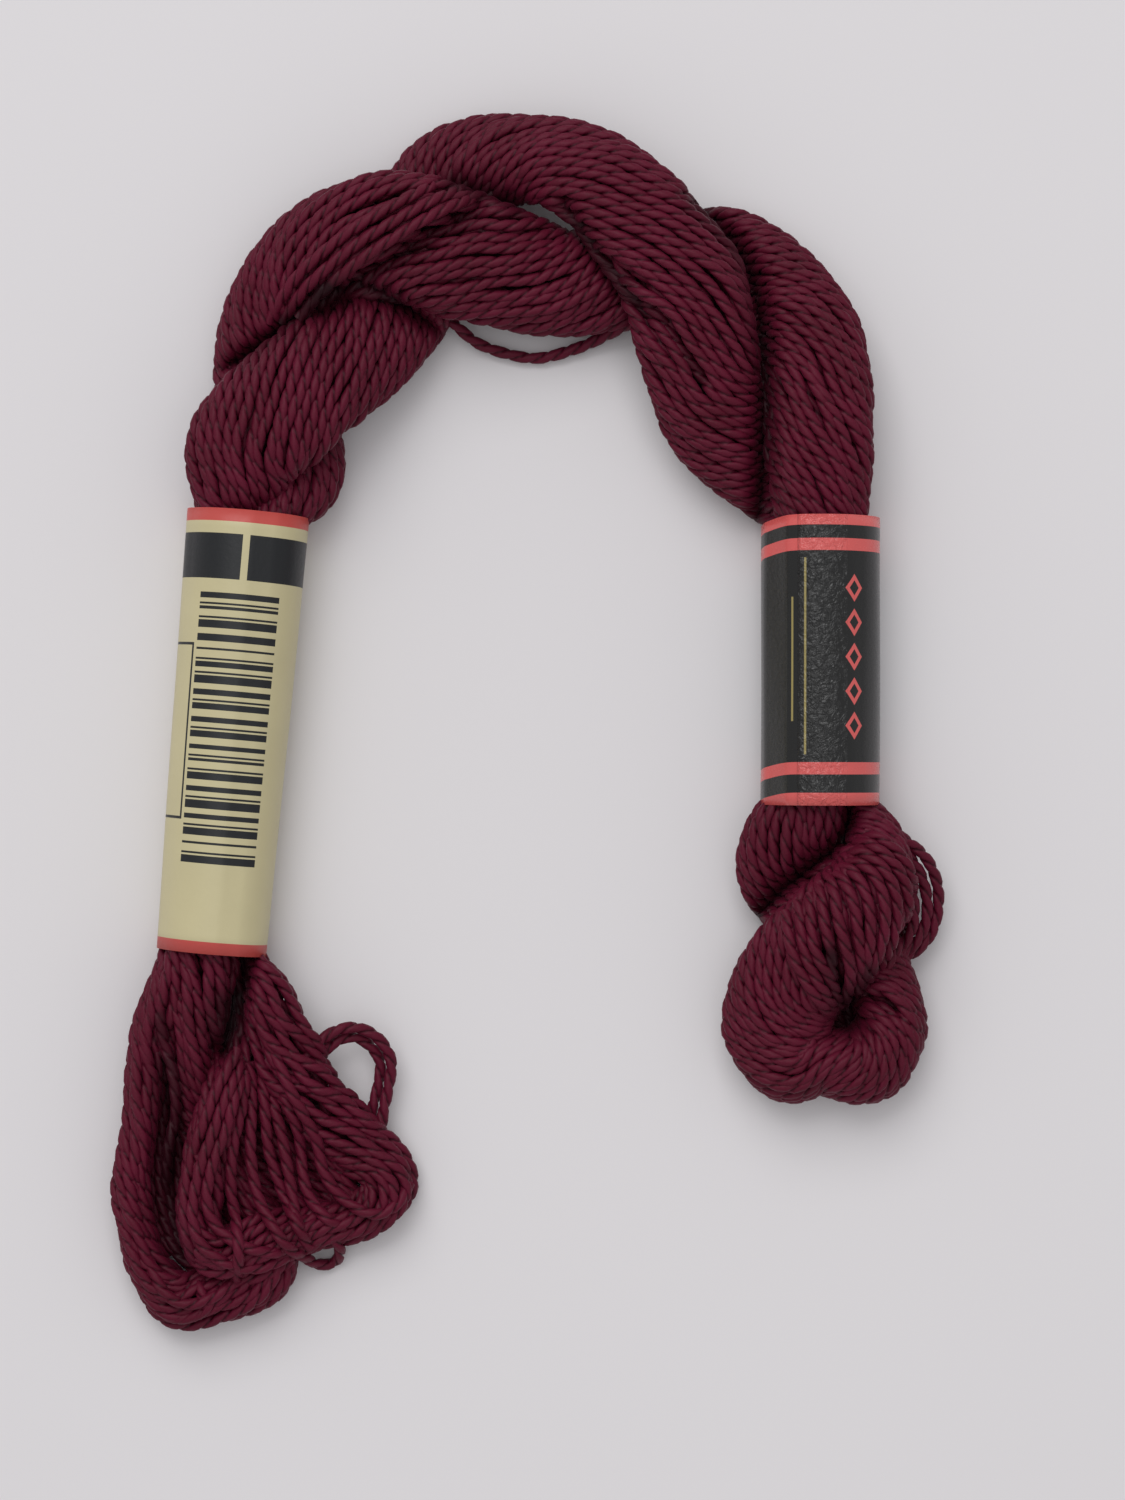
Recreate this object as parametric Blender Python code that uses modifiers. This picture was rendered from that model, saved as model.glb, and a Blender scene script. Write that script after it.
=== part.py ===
"""A twisted hank of pearl cotton, opened out into a U and held by two paper bands.

Metres, +Z up. The hank lies on the plane z = 0. Its arch is at +Y, its two ends are at -Y,
the long cream band is on the left (-X) and the short black band on the right.
Every table below is in millimetres and degrees.
"""

import math

import bmesh
import bpy
import numpy as np

MM = 0.001

# The thread turns about each ply's own axis once in this length of ply.
PLY_PITCH = 53.0
RIDGE_DEPTH = 0.045  # of the half width
PLY_RIDGES = 6
LOOP_RIDGES = 4
# Faces round each form, and the length of one face along it.
PLY_SIDES = 24
LOOP_SIDES = 16
BUNCH_SIDES = 10
STRAY_SIDES = 8
BAND_SIDES = 48
RING_STEP = 2.9
LOOP_STEP = 2.1
STRAY_STEP = 1.6
BOUND_STEP = 8.0
# Edges shorter than this, left where two plies meet, are closed up.
SLIVER = 0.04
# Two faces of a band that meet at more than this stay a sharp edge.
SHARP = 35

PAPER = 0.35
CLEARANCE = 0.31
# What the hank inside a band keeps from the outside of its paper.
INSET = PAPER + CLEARANCE + 0.05
# How far an ellipse's lowest point is pressed into the surface, which leaves the flat underside.
PRESSED = 0.25

# Each band: middle of its top rim and of its bottom rim, and the half width and half height there.
BANDS = {
    "long_band": dict(
        top=(-25.4, 19.0),
        bottom=(-28.8, -21.0),
        top_half=(5.5, 5.1),
        bottom_half=(4.95, 4.75),
    ),
    "short_band": dict(
        top=(26.55, 18.6),
        bottom=(26.5, -7.6),
        top_half=(5.42, 5.1),
        bottom_half=(5.42, 5.1),
    ),
}

# One row for each section, in the order in which the thread runs:
# x, y, z, half width, half thickness, roll.
PLY_A = (
    (-26.0, 19.5, 5.6, 3.2, 3.0, 0),
    (-26.5, 21.9, 6.6, 4.6, 3.1, 0),
    (-25.6, 24.6, 7.5, 5.4, 2.8, 0),
    (-23.7, 26.9, 7.8, 5.7, 2.7, 0),
    (-20.1, 30.3, 7.5, 5.7, 2.7, 6),
    (-15.2, 34.2, 5.5, 5.5, 2.7, 14),
    (-12.0, 37.5, 3.7, 4.9, 2.7, 10),
    (-10.4, 41.7, 2.8, 4.8, 2.7, 4),
    (-9.7, 46.2, 2.7, 4.9, 2.7, 0),
    (-6.2, 50.0, 3.3, 4.8, 2.9, -8),
    (0.6, 51.0, 5.0, 4.4, 3.0, -14),
    (6.2, 48.9, 6.8, 4.8, 2.9, -8),
    (10.3, 44.9, 7.7, 5.3, 2.7, 0),
    (14.0, 39.2, 7.7, 5.8, 2.7, 5),
    (15.4, 33.7, 6.9, 5.6, 2.8, 10),
    (16.6, 28.7, 5.4, 5.2, 2.9, 12),
    (19.5, 24.3, 4.0, 4.6, 2.8, 4),
    (22.9, 21.0, 3.9, 3.6, 2.9, 0),
    (25.2, 19.1, 4.3, 2.6, 2.6, 0),
)
PLY_B = (
    (-23.6, 19.3, 4.3, 3.0, 2.8, 0),
    (-21.2, 21.6, 3.7, 4.1, 2.9, 0),
    (-20.9, 24.6, 3.1, 4.2, 2.8, 0),
    (-22.9, 27.9, 2.8, 4.9, 2.7, 0),
    (-24.2, 31.5, 3.1, 4.6, 2.8, 0),
    (-24.0, 36.0, 4.0, 4.4, 3.0, -8),
    (-21.4, 40.4, 5.7, 4.6, 3.0, -12),
    (-17.2, 43.2, 7.0, 5.3, 2.9, -8),
    (-11.7, 43.8, 7.8, 5.9, 2.7, 0),
    (-5.4, 42.2, 6.5, 6.0, 2.7, 6),
    (1.4, 40.2, 4.4, 5.2, 2.9, 10),
    (6.9, 40.4, 3.2, 4.9, 2.8, 8),
    (12.6, 42.1, 2.7, 5.0, 2.7, 0),
    (18.2, 41.9, 3.2, 5.0, 2.8, -4),
    (23.2, 38.5, 4.6, 4.9, 3.0, -10),
    (25.7, 33.7, 6.0, 5.0, 3.0, -8),
    (26.2, 28.3, 6.6, 5.1, 2.9, 0),
    (26.2, 23.3, 6.3, 4.8, 2.9, 0),
    (26.6, 19.4, 5.6, 3.8, 2.9, 0),
)
RIGHT_FOLD = (
    (29.3, -8.17, 4.7, 1.8, 3.0, 0),
    (31.0, -10.2, 5.2, 2.7, 2.9, 0),
    (31.4, -13.1, 6.4, 3.6, 2.8, 0),
    (29.6, -16.9, 7.3, 4.8, 2.7, 0),
    (26.2, -20.8, 6.6, 5.3, 2.8, 0),
    (23.3, -24.5, 5.1, 5.2, 2.9, 8),
    (22.8, -28.1, 4.1, 5.0, 3.1, 6),
    (24.0, -30.8, 3.7, 4.1, 3.4, 0),
    (26.9, -31.1, 3.5, 3.2, 3.5, 0),
    (30.6, -31.2, 3.5, 3.7, 3.5, 0),
    (32.9, -28.6, 3.4, 3.3, 3.4, 0),
    (32.7, -25.2, 3.2, 3.2, 3.2, 0),
    (30.8, -21.7, 2.8, 3.9, 2.8, 0),
    (27.2, -17.6, 2.7, 4.8, 2.7, 0),
    (24.3, -13.8, 3.6, 5.2, 2.8, 0),
    (24.3, -10.6, 4.8, 4.9, 3.0, 0),
    (25.3, -8.0, 5.0, 3.1, 3.1, 0),
)
LEFT_LOOP = (
    (-31.0, -21.4, 5.0, 1.9, 2.6, 0),
    (-32.7, -24.6, 4.5, 2.3, 2.7, 0),
    (-34.3, -28.5, 3.4, 2.4, 2.6, 0),
    (-34.6, -34.5, 2.7, 2.5, 2.5, 0),
    (-34.8, -40.4, 2.4, 2.9, 2.4, 0),
    (-35.2, -44.9, 2.3, 2.8, 2.4, 0),
    (-34.5, -49.5, 2.3, 2.5, 2.4, 0),
    (-32.2, -52.6, 2.3, 2.7, 2.4, 0),
    (-28.5, -52.7, 2.2, 2.2, 2.3, 0),
    (-24.6, -51.4, 2.1, 2.5, 2.2, 0),
    (-23.1, -49.1, 2.0, 2.0, 2.1, 0),
    (-25.2, -45.2, 2.0, 2.7, 2.1, 0),
    (-28.2, -39.0, 2.1, 3.0, 2.2, 0),
    (-30.2, -34.0, 2.7, 2.8, 2.4, 0),
    (-30.3, -29.6, 4.2, 2.8, 2.7, 0),
    (-29.8, -25.4, 4.9, 2.9, 2.9, 0),
    (-29.3, -21.8, 5.1, 2.4, 2.8, 0),
)
FRONT_LOOP = (
    (-26.3, -21.7, 5.2, 1.8, 2.6, 0),
    (-24.2, -24.6, 5.1, 2.5, 2.6, 0),
    (-22.5, -28.6, 4.6, 3.0, 2.3, 0),
    (-20.3, -33.5, 3.8, 3.3, 2.1, 0),
    (-16.8, -37.6, 3.0, 3.1, 2.1, 0),
    (-13.5, -40.6, 2.3, 2.7, 2.2, 0),
    (-13.1, -43.2, 2.1, 2.5, 2.1, 0),
    (-15.8, -45.5, 2.3, 2.1, 2.1, 0),
    (-19.9, -46.1, 3.1, 2.2, 2.0, 0),
    (-24.3, -47.3, 4.5, 2.5, 1.9, 0),
    (-28.3, -47.9, 4.8, 2.5, 1.9, 0),
    (-30.0, -45.2, 4.8, 2.1, 2.0, 0),
    (-29.4, -39.6, 5.0, 2.1, 2.0, 0),
    (-28.0, -34.4, 5.1, 2.0, 2.0, 0),
    (-26.8, -30.0, 4.8, 1.9, 2.0, 0),
    (-26.2, -26.0, 4.1, 1.8, 2.0, 0),
    (-26.6, -22.0, 3.8, 1.7, 2.2, 0),
)
# Threads that hang across the middle of the front loop, and those that stray from the hank.
MIDDLE_THREADS = (
    (
        (-26.6, -29.4, 3.2, 1.1, 1.4, 0),
        (-26.6, -33.6, 3.8, 1.6, 1.4, 0),
        (-26.6, -39.0, 3.8, 1.8, 1.4, 0),
        (-25.7, -43.6, 3.7, 1.6, 1.4, 0),
        (-23.3, -46.9, 3.7, 1.2, 1.4, 0),
    ),
    (
        (-24.8, -30.6, 3.4, 1.2, 1.4, 0),
        (-23.5, -35.0, 3.6, 1.8, 1.4, 0),
        (-22.2, -40.8, 3.1, 1.9, 1.4, 0),
        (-19.9, -46.0, 2.7, 1.3, 1.3, 0),
    ),
    (
        (-22.4, -32.0, 3.3, 1.3, 1.4, 0),
        (-19.7, -37.4, 3.0, 1.8, 1.4, 0),
        (-17.6, -42.4, 2.5, 1.8, 1.4, 0),
        (-16.1, -45.4, 2.1, 1.2, 1.2, 0),
    ),
)
STRAYS = {
    "under_the_arch": (
        (-8.6, 38.1, 3.4, 0.5, 0.5, 0),
        (-6.4, 36.0, 2.2, 0.5, 0.5, 0),
        (-4.5, 34.6, 1.3, 0.5, 0.5, 0),
        (-1.7, 33.7, 0.8, 0.5, 0.5, 0),
        (1.0, 33.4, 0.7, 0.5, 0.5, 0),
        (4.2, 34.2, 1.0, 0.5, 0.5, 0),
        (6.7, 35.2, 1.7, 0.5, 0.5, 0),
        (11.5, 37.4, 4.4, 0.5, 0.5, 0),
    ),
    "beside_the_left_end": (
        (-21.0, -31.4, 4.0, 0.8, 0.6, 0),
        (-18.3, -29.2, 3.8, 0.9, 0.6, 0),
        (-16.1, -28.3, 3.4, 0.9, 0.6, 0),
        (-14.1, -29.2, 2.9, 0.9, 0.6, 0),
        (-13.0, -31.2, 2.4, 0.9, 0.6, 0),
        (-13.3, -33.7, 2.1, 0.9, 0.6, 0),
        (-13.8, -36.2, 2.0, 0.8, 0.6, 0),
        (-13.9, -39.6, 2.0, 0.8, 0.6, 0),
    ),
    "below_the_left_end": (
        (-21.0, -47.0, 2.6, 0.5, 0.5, 0),
        (-20.2, -49.0, 1.8, 0.5, 0.5, 0),
        (-18.9, -49.5, 1.4, 0.5, 0.5, 0),
        (-17.6, -48.7, 1.6, 0.5, 0.5, 0),
        (-17.3, -46.4, 2.2, 0.5, 0.5, 0),
    ),
    "right_end_outer": (
        (31.4, -10.4, 6.4, 0.5, 0.5, 0),
        (34.2, -10.9, 5.4, 0.5, 0.5, 0),
        (36.1, -12.5, 4.5, 0.5, 0.5, 0),
        (37.2, -14.6, 3.7, 0.5, 0.5, 0),
        (37.4, -16.8, 3.1, 0.5, 0.5, 0),
        (36.9, -19.1, 2.8, 0.5, 0.5, 0),
        (35.5, -20.9, 2.8, 0.5, 0.5, 0),
        (32.4, -22.6, 3.2, 0.5, 0.5, 0),
    ),
    "right_end_inner": (
        (31.6, -10.8, 6.4, 0.5, 0.5, 0),
        (34.3, -13.1, 5.2, 0.6, 0.5, 0),
        (35.6, -15.8, 4.2, 0.6, 0.5, 0),
        (35.6, -18.5, 3.6, 0.6, 0.5, 0),
        (34.2, -20.8, 3.4, 0.5, 0.5, 0),
        (31.8, -22.4, 3.4, 0.5, 0.5, 0),
    ),
}
# How the bound hank swells past a rim: distance from the rim, and its half width and half height.
SWELL = (
    (0.5, 1.0, 1.0),
    (1.3, 1.09, 1.03),
    (2.6, 0.86, 0.8),
    (3.6, 0.45, 0.5),
)


def clear_scene():
    for old in list(bpy.data.objects):
        bpy.data.objects.remove(old, do_unlink=True)


def collection(name):
    made = bpy.data.collections.new(name)
    bpy.context.scene.collection.children.link(made)
    return made


def material(name, colour, roughness):
    made = bpy.data.materials.new(name)
    made.use_nodes = True
    made.diffuse_color = (*colour, 1.0)
    shader = made.node_tree.nodes["Principled BSDF"]
    shader.inputs["Base Color"].default_value = (*colour, 1.0)
    shader.inputs["Roughness"].default_value = roughness
    shader.inputs["Metallic"].default_value = 0.0
    return made


def smooth_rows(rows, step):
    """The rows' columns along a Catmull-Rom curve through them, about one step apart."""
    rows = np.array(rows, float)
    ends = np.vstack([2 * rows[0] - rows[1], rows, 2 * rows[-1] - rows[-2]])
    made = []
    for i in range(len(rows) - 1):
        a, b, c, d = ends[i : i + 4]
        count = max(1, round(np.linalg.norm(c[:3] - b[:3]) / step))
        for t in np.arange(count) / count:
            bend = (2 * a - 5 * b + 4 * c - d) * t**2 + (3 * b - a - 3 * c + d) * t**3
            made.append(0.5 * (2 * b + (c - a) * t + bend))
    return np.array([*made, rows[-1]])


def loft(name, rows, sides, home, ridges=0, step=RING_STEP, floor=0.0):
    """A closed solid through one ellipse for each row, flat where it would sink below the floor."""
    rows = smooth_rows(rows, step)
    centres = rows[:, :3]
    along = np.gradient(centres, axis=0)
    along /= np.linalg.norm(along, axis=1, keepdims=True)
    run = np.concatenate([[0.0], np.cumsum(np.linalg.norm(np.diff(centres, axis=0), axis=1))])
    left = np.cross((0.0, 0.0, 1.0), along)
    left /= np.linalg.norm(left, axis=1, keepdims=True)
    up = np.cross(along, left)

    mesh = bmesh.new()
    rings = []
    for i, row in enumerate(rows):
        half_width, half_thickness, roll = row[3:]
        tilt = math.radians(roll)
        across = math.cos(tilt) * left[i] + math.sin(tilt) * up[i]
        rise = math.cos(tilt) * up[i] - math.sin(tilt) * left[i]
        ring = []
        for side in range(sides):
            angle = 2 * math.pi * side / sides
            turned = angle + 2 * math.pi * run[i] / PLY_PITCH
            ridge = 1 + RIDGE_DEPTH * math.cos(ridges * turned) * (ridges > 0)
            point = centres[i] + ridge * (
                half_width * math.cos(angle) * across + half_thickness * math.sin(angle) * rise
            )
            point[2] = max(point[2], floor)
            ring.append(mesh.verts.new(point * MM))
        rings.append(ring)
    for near, far in zip(rings, rings[1:]):
        for side in range(sides):
            after = (side + 1) % sides
            mesh.faces.new((near[side], near[after], far[after], far[side]))
    for ring, centre in ((rings[0], centres[0]), (rings[-1], centres[-1])):
        middle = mesh.verts.new(centre * MM)
        for side in range(sides):
            mesh.faces.new((ring[side], ring[(side + 1) % sides], middle))
    bmesh.ops.recalc_face_normals(mesh, faces=mesh.faces)
    data = bpy.data.meshes.new(name)
    mesh.to_mesh(data)
    mesh.free()
    made = bpy.data.objects.new(name, data)
    home.objects.link(made)
    return made


def band_height(half):
    """Height of the middle of a band whose half width and half height are given."""
    return half[1] - PRESSED


def bound_rows(band):
    """Sections of the hank where a band binds it, and just past both rims."""
    top, bottom = np.array(band["top"]), np.array(band["bottom"])
    out = (top - bottom) / np.linalg.norm(top - bottom)
    rows = []
    for rim, way, half in ((top, out, band["top_half"]), (bottom, -out, band["bottom_half"])):
        side = [
            (
                *(rim + way * distance),
                band_height(half) + 0.1,
                (half[0] - INSET) * wide,
                (half[1] - INSET) * high,
                0,
            )
            for distance, wide, high in SWELL
        ]
        rows.append(side)
    return (*reversed(rows[0]), *rows[1])


def islands(mesh):
    """The mesh's faces, as one list for each connected surface."""
    waiting = set(mesh.faces)
    found = []
    while waiting:
        surface = [waiting.pop()]
        for face in surface:
            for edge in face.edges:
                for other in edge.link_faces if len(edge.link_faces) == 2 else ():
                    if other in waiting:
                        waiting.remove(other)
                        surface.append(other)
        found.append(surface)
    return found


def keep_outer_surface(obj):
    """Makes the object's modifiers real and fills the hollows that are sealed between its plies."""
    graph = bpy.context.evaluated_depsgraph_get()
    data = bpy.data.meshes.new_from_object(obj.evaluated_get(graph))
    obj.modifiers.clear()
    obj.data = data
    mesh = bmesh.new()
    mesh.from_mesh(data)
    bmesh.ops.triangulate(mesh, faces=mesh.faces)
    bmesh.ops.remove_doubles(mesh, verts=mesh.verts, dist=SLIVER * MM)
    bmesh.ops.dissolve_degenerate(mesh, edges=mesh.edges, dist=SLIVER * MM)
    surfaces = sorted(islands(mesh), key=len)
    for surface in surfaces[:-1]:
        bmesh.ops.delete(mesh, geom=surface, context="FACES")
    mesh.to_mesh(data)
    mesh.free()


def hank(home, guides, clearances, thread):
    """The whole skein as one solid: its plies, ends and strays, united, and clear of the bands."""
    skein = loft("skein", PLY_A, PLY_SIDES, home, PLY_RIDGES)
    loft("ply_b", PLY_B, PLY_SIDES, guides, PLY_RIDGES)
    loft("right_fold", RIGHT_FOLD, PLY_SIDES, guides, PLY_RIDGES, LOOP_STEP)
    loft("left_loop", LEFT_LOOP, LOOP_SIDES, guides, LOOP_RIDGES, LOOP_STEP)
    loft("front_loop", FRONT_LOOP, LOOP_SIDES, guides, LOOP_RIDGES, LOOP_STEP)
    for name, band in BANDS.items():
        loft("hank_in_" + name, bound_rows(band), PLY_SIDES, guides, 0, BOUND_STEP, INSET)
    for number, rows in enumerate(MIDDLE_THREADS, 1):
        loft(f"middle_threads_{number}", rows, BUNCH_SIDES, guides)
    for name, rows in STRAYS.items():
        loft(name, rows, STRAY_SIDES, guides, 0, STRAY_STEP)
    union = skein.modifiers.new("one hank", "BOOLEAN")
    union.operation = "UNION"
    union.operand_type = "COLLECTION"
    union.collection = guides
    union.solver = "EXACT"
    union.use_self = True
    for name, band in BANDS.items():
        cut = skein.modifiers.new("clear of " + name, "BOOLEAN")
        cut.operation = "DIFFERENCE"
        cut.object = paper_band("room_for_" + name, band, clearances, None, CLEARANCE)
        cut.solver = "EXACT"
    keep_outer_surface(skein)
    skein.data.materials.append(thread)
    skein.data.shade_smooth()
    return skein


def paper_band(name, band, home, paper, room=0.0):
    """A sleeve of paper, oval in section, whose underside lies flat on the surface.

    With room, it is that much thicker on every side.
    """
    top, bottom = np.array(band["top"]), np.array(band["bottom"])
    length = np.linalg.norm(top - bottom) + 2 * room
    mesh = bmesh.new()
    bmesh.ops.create_cone(mesh, cap_ends=False, segments=BAND_SIDES, radius1=1.0, radius2=1.0, depth=length)
    for vert in mesh.verts:
        x, y, z = vert.co
        upper = z > 0
        wide, high = band["top_half"] if upper else band["bottom_half"]
        # The cylinder's own axis is laid along +Y.
        height = max(band_height((wide, high)) - (high + room) * y, -room)
        vert.co = (x * (wide + room) * MM, z * MM, height * MM)
    bmesh.ops.recalc_face_normals(mesh, faces=mesh.faces)
    data = bpy.data.meshes.new(name)
    mesh.to_mesh(data)
    mesh.free()
    data.shade_smooth()
    data.set_sharp_from_angle(angle=math.radians(SHARP))
    made = bpy.data.objects.new(name, data)
    home.objects.link(made)
    made.location = (*((top + bottom) / 2 * MM), 0.0)
    made.rotation_euler.z = -math.atan2(top[0] - bottom[0], top[1] - bottom[1])
    wall = made.modifiers.new("paper", "SOLIDIFY")
    wall.thickness = (PAPER + 2 * room) * MM
    wall.offset = -1.0
    wall.use_even_offset = True
    if paper:
        data.materials.append(paper)
    return made


def main():
    clear_scene()
    home = collection("skein_of_thread")
    guides = collection("guides")
    clearances = collection("clearances")
    thread = material("burgundy pearl cotton", (0.105, 0.011, 0.028), 0.55)
    cream = material("cream paper", (0.66, 0.58, 0.38), 0.5)
    black = material("black coated paper", (0.02, 0.018, 0.02), 0.3)
    hank(home, guides, clearances, thread)
    paper_band("long_band", BANDS["long_band"], home, cream)
    paper_band("short_band", BANDS["short_band"], home, black)
    for guide in (*guides.objects, *clearances.objects):
        guide.hide_render = True
        guide.display_type = "WIRE"


main()
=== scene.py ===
"""The looks of an opened skein of pearl cotton: single threads, two printed paper bands.

Sizes are in millimetres and angles in degrees, unless a comment says otherwise. Only the floor,
the lights, the camera, and the noise and relief in the materials are in metres. The skein lies
on z = 0, its arch at +Y, the cream band on the left and the black one on the right.
"""

import math

import bmesh
import bpy
import numpy as np
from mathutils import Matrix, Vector
from mathutils.bvhtree import BVHTree


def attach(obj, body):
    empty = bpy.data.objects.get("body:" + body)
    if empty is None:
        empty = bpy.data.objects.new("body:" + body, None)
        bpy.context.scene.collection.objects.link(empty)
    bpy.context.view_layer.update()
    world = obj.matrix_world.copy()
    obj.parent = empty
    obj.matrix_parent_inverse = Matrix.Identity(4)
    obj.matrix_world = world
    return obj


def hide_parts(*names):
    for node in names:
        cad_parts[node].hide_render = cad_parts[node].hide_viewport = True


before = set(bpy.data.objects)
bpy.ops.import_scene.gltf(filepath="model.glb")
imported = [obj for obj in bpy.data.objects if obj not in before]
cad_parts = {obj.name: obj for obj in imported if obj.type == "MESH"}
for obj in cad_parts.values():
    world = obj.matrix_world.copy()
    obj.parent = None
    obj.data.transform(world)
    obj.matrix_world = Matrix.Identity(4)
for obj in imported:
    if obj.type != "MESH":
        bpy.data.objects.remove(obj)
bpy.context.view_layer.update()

MM = 0.001

# ---------------- the thread and the hank

THREAD = 1.09  # across both strands of the twisted pair
TWIST = 3.7  # one full turn of the pair
STEP = TWIST / 8  # between two sections of a thread
STEP_WITHIN = STEP * 1.4  # the same for an inner thread, which hardly shows
# A strand of the pair: its middle, half width and half height, and the half height of the
# groove between the two, all as shares of half the thread's width.
STRAND_MIDDLE = 0.49
STRAND_HALF_WIDTH = 0.51
STRAND_HALF_HEIGHT = 0.8
GROOVE_HALF_HEIGHT = 0.4
# The groove's painted shade, which darkens the thread where its two strands meet, is full up to
# the first of these shares of half the width, and gone at the second.
GROOVE_REACH = (0.42, 0.85)
GROOVE_PAINTED_SHADE = (0.75, 0.0)

# How deep the middles of the outer and the inner threads lie in their ply.
OUTER_DEPTH = THREAD * 0.5
INNER_DEPTH = THREAD * 1.35
PLY_PITCH = 53.0  # the threads turn once round their ply in this length
# Pitches: a share of the ply's length, and the length of one turn there.
EVEN_PITCHES = ((0.0, PLY_PITCH), (1.0, PLY_PITCH))
PLY_A_PITCHES = ((0.0, 38.0), (0.25, 42.0), (0.4, PLY_PITCH), (1.0, PLY_PITCH))
RIGHT_FOLD_PITCHES = ((0.0, 34.0), (0.3, 30.0), (0.7, 28.0), (0.85, 60.0), (1.0, 90.0))

# Unevenness: how far a thread starts from its even place, as a share of the space between two
# threads; the lengths of the waves in which it drifts, and the spread of those lengths.
PLACE_SPREAD = 0.12
DRIFT_LENGTHS = (7.0, 13.0, 29.0)
DRIFT_SPREAD = (0.8, 1.25)
# Threads lie in this many loose groups round a ply, wide ones and narrower, weaker ones. The
# last number is how much a group stands out, where the drift in depth counts as 1.
WIDE_GROUPS = 5
NARROW_GROUPS = 8
NARROW_SHARE = 0.7
GROUP_DEPTH = 0.7

OUTLINE_POINTS = 97  # on a ply's outline, to measure how far round it a thread lies
LEAST_HALF = 0.1  # the least half width and half thickness of a ring of threads
# A crease presses a thread down less, the lower it lies in its ply: not at all at this share of
# the half thickness under the middle, and in full from one half thickness above that.
UPPER_SIDE = 0.85

HIGH_ABOVE = 50.0  # above everything, where the search for a surface starts
LIFT = 0.05  # added to the height of each thread that lies over others
BRIDGED = 4  # sections on either side over which such a thread evens out what it lies on

# Sections of each ply, fold and loop in the order in which the thread runs:
# x, y, z, half width, half thickness, roll.
PLY_A = (
    (-27.8, 15.4, 4.9, 2.4, 3.9, 0),
    (-27.3, 19.4, 5.2, 3.0, 3.8, 0),
    (-26.6, 22.0, 6.6, 4.6, 3.1, 0),
    (-25.6, 24.6, 7.5, 5.4, 2.8, 0),
    (-23.7, 26.9, 7.8, 5.7, 2.7, 0),
    (-20.1, 30.3, 7.5, 5.7, 2.7, 6),
    (-15.2, 34.2, 5.4, 5.5, 2.7, 14),
    (-12.0, 37.5, 3.6, 4.9, 2.7, 10),
    (-10.4, 41.7, 2.8, 4.8, 2.7, 4),
    (-9.7, 46.2, 2.7, 4.9, 2.7, 0),
    (-6.2, 50.0, 3.3, 4.8, 2.9, -8),
    (0.7, 51.1, 5.1, 4.3, 3.0, -14),
    (6.2, 48.9, 6.8, 4.8, 2.9, -8),
    (10.3, 44.9, 7.7, 5.3, 2.7, 0),
    (14.0, 39.2, 7.7, 5.8, 2.7, 5),
    (15.4, 33.7, 6.9, 5.6, 2.8, 10),
    (16.6, 28.7, 5.4, 5.2, 2.9, 12),
    (19.6, 24.3, 3.9, 4.5, 2.8, 4),
    (24.4, 20.2, 3.2, 3.6, 2.4, 0),
    (26.7, 18.0, 3.6, 3.1, 2.2, 0),
    (26.4, 13.6, 3.0, 3.8, 2.2, 0),
)
PLY_B = (
    (-23.5, 15.0, 4.8, 2.6, 4.1, 0),
    (-23.4, 18.3, 4.8, 2.6, 3.6, 0),
    (-21.3, 21.8, 3.7, 4.1, 2.9, 0),
    (-20.9, 24.6, 3.1, 4.2, 2.8, 0),
    (-22.9, 27.9, 2.8, 4.9, 2.7, 0),
    (-24.2, 31.5, 3.1, 4.6, 2.8, 0),
    (-24.0, 36.0, 3.7, 4.4, 3.0, -8),
    (-21.4, 40.4, 5.4, 4.6, 3.0, -12),
    (-17.2, 43.2, 6.9, 5.3, 2.9, -8),
    (-11.7, 43.8, 7.8, 5.9, 2.7, 0),
    (-5.4, 42.2, 6.4, 6.0, 2.7, 6),
    (1.4, 40.2, 4.2, 5.2, 2.9, 10),
    (6.9, 40.4, 3.2, 4.9, 2.8, 8),
    (12.6, 42.1, 2.7, 5.0, 2.7, 0),
    (18.2, 41.9, 3.2, 5.0, 2.8, -4),
    (23.2, 38.5, 4.6, 4.9, 3.0, -10),
    (25.7, 33.7, 6.0, 5.0, 3.0, -8),
    (26.2, 28.3, 6.6, 5.1, 2.9, 0),
    (26.4, 23.3, 6.7, 4.9, 2.7, 0),
    (26.6, 19.0, 6.6, 4.3, 2.4, 0),
    (26.6, 14.6, 6.5, 4.0, 2.3, 0),
)
RIGHT_FOLD = (
    (29.6, -3.6, 4.4, 1.7, 3.4, 0),
    (29.8, -7.4, 4.2, 1.7, 3.2, 0),
    (31.2, -10.2, 5.0, 2.6, 2.9, 0),
    (31.5, -13.1, 6.4, 3.5, 2.8, 0),
    (29.6, -16.9, 7.3, 4.8, 2.7, 0),
    (26.2, -20.8, 6.6, 5.3, 2.8, 0),
    (23.3, -24.5, 5.1, 5.2, 2.9, 8),
    (22.8, -28.1, 4.1, 5.1, 3.1, 6),
    (24.0, -30.8, 3.7, 4.2, 3.4, 0),
    (26.9, -31.0, 3.5, 3.2, 3.5, 0),
    (30.6, -31.2, 3.5, 3.8, 3.5, 0),
    (32.9, -28.6, 3.4, 3.4, 3.4, 0),
    (32.7, -25.2, 3.2, 3.2, 3.2, 0),
    (30.8, -21.7, 2.8, 3.9, 2.8, 0),
    (27.2, -17.6, 2.7, 4.8, 2.7, 0),
    (24.3, -13.8, 3.6, 5.3, 2.8, 0),
    (24.4, -10.6, 4.9, 5.0, 3.0, 0),
    (25.6, -7.8, 5.3, 3.7, 3.4, 0),
    (25.4, -3.6, 5.0, 3.4, 3.7, 0),
)
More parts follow.
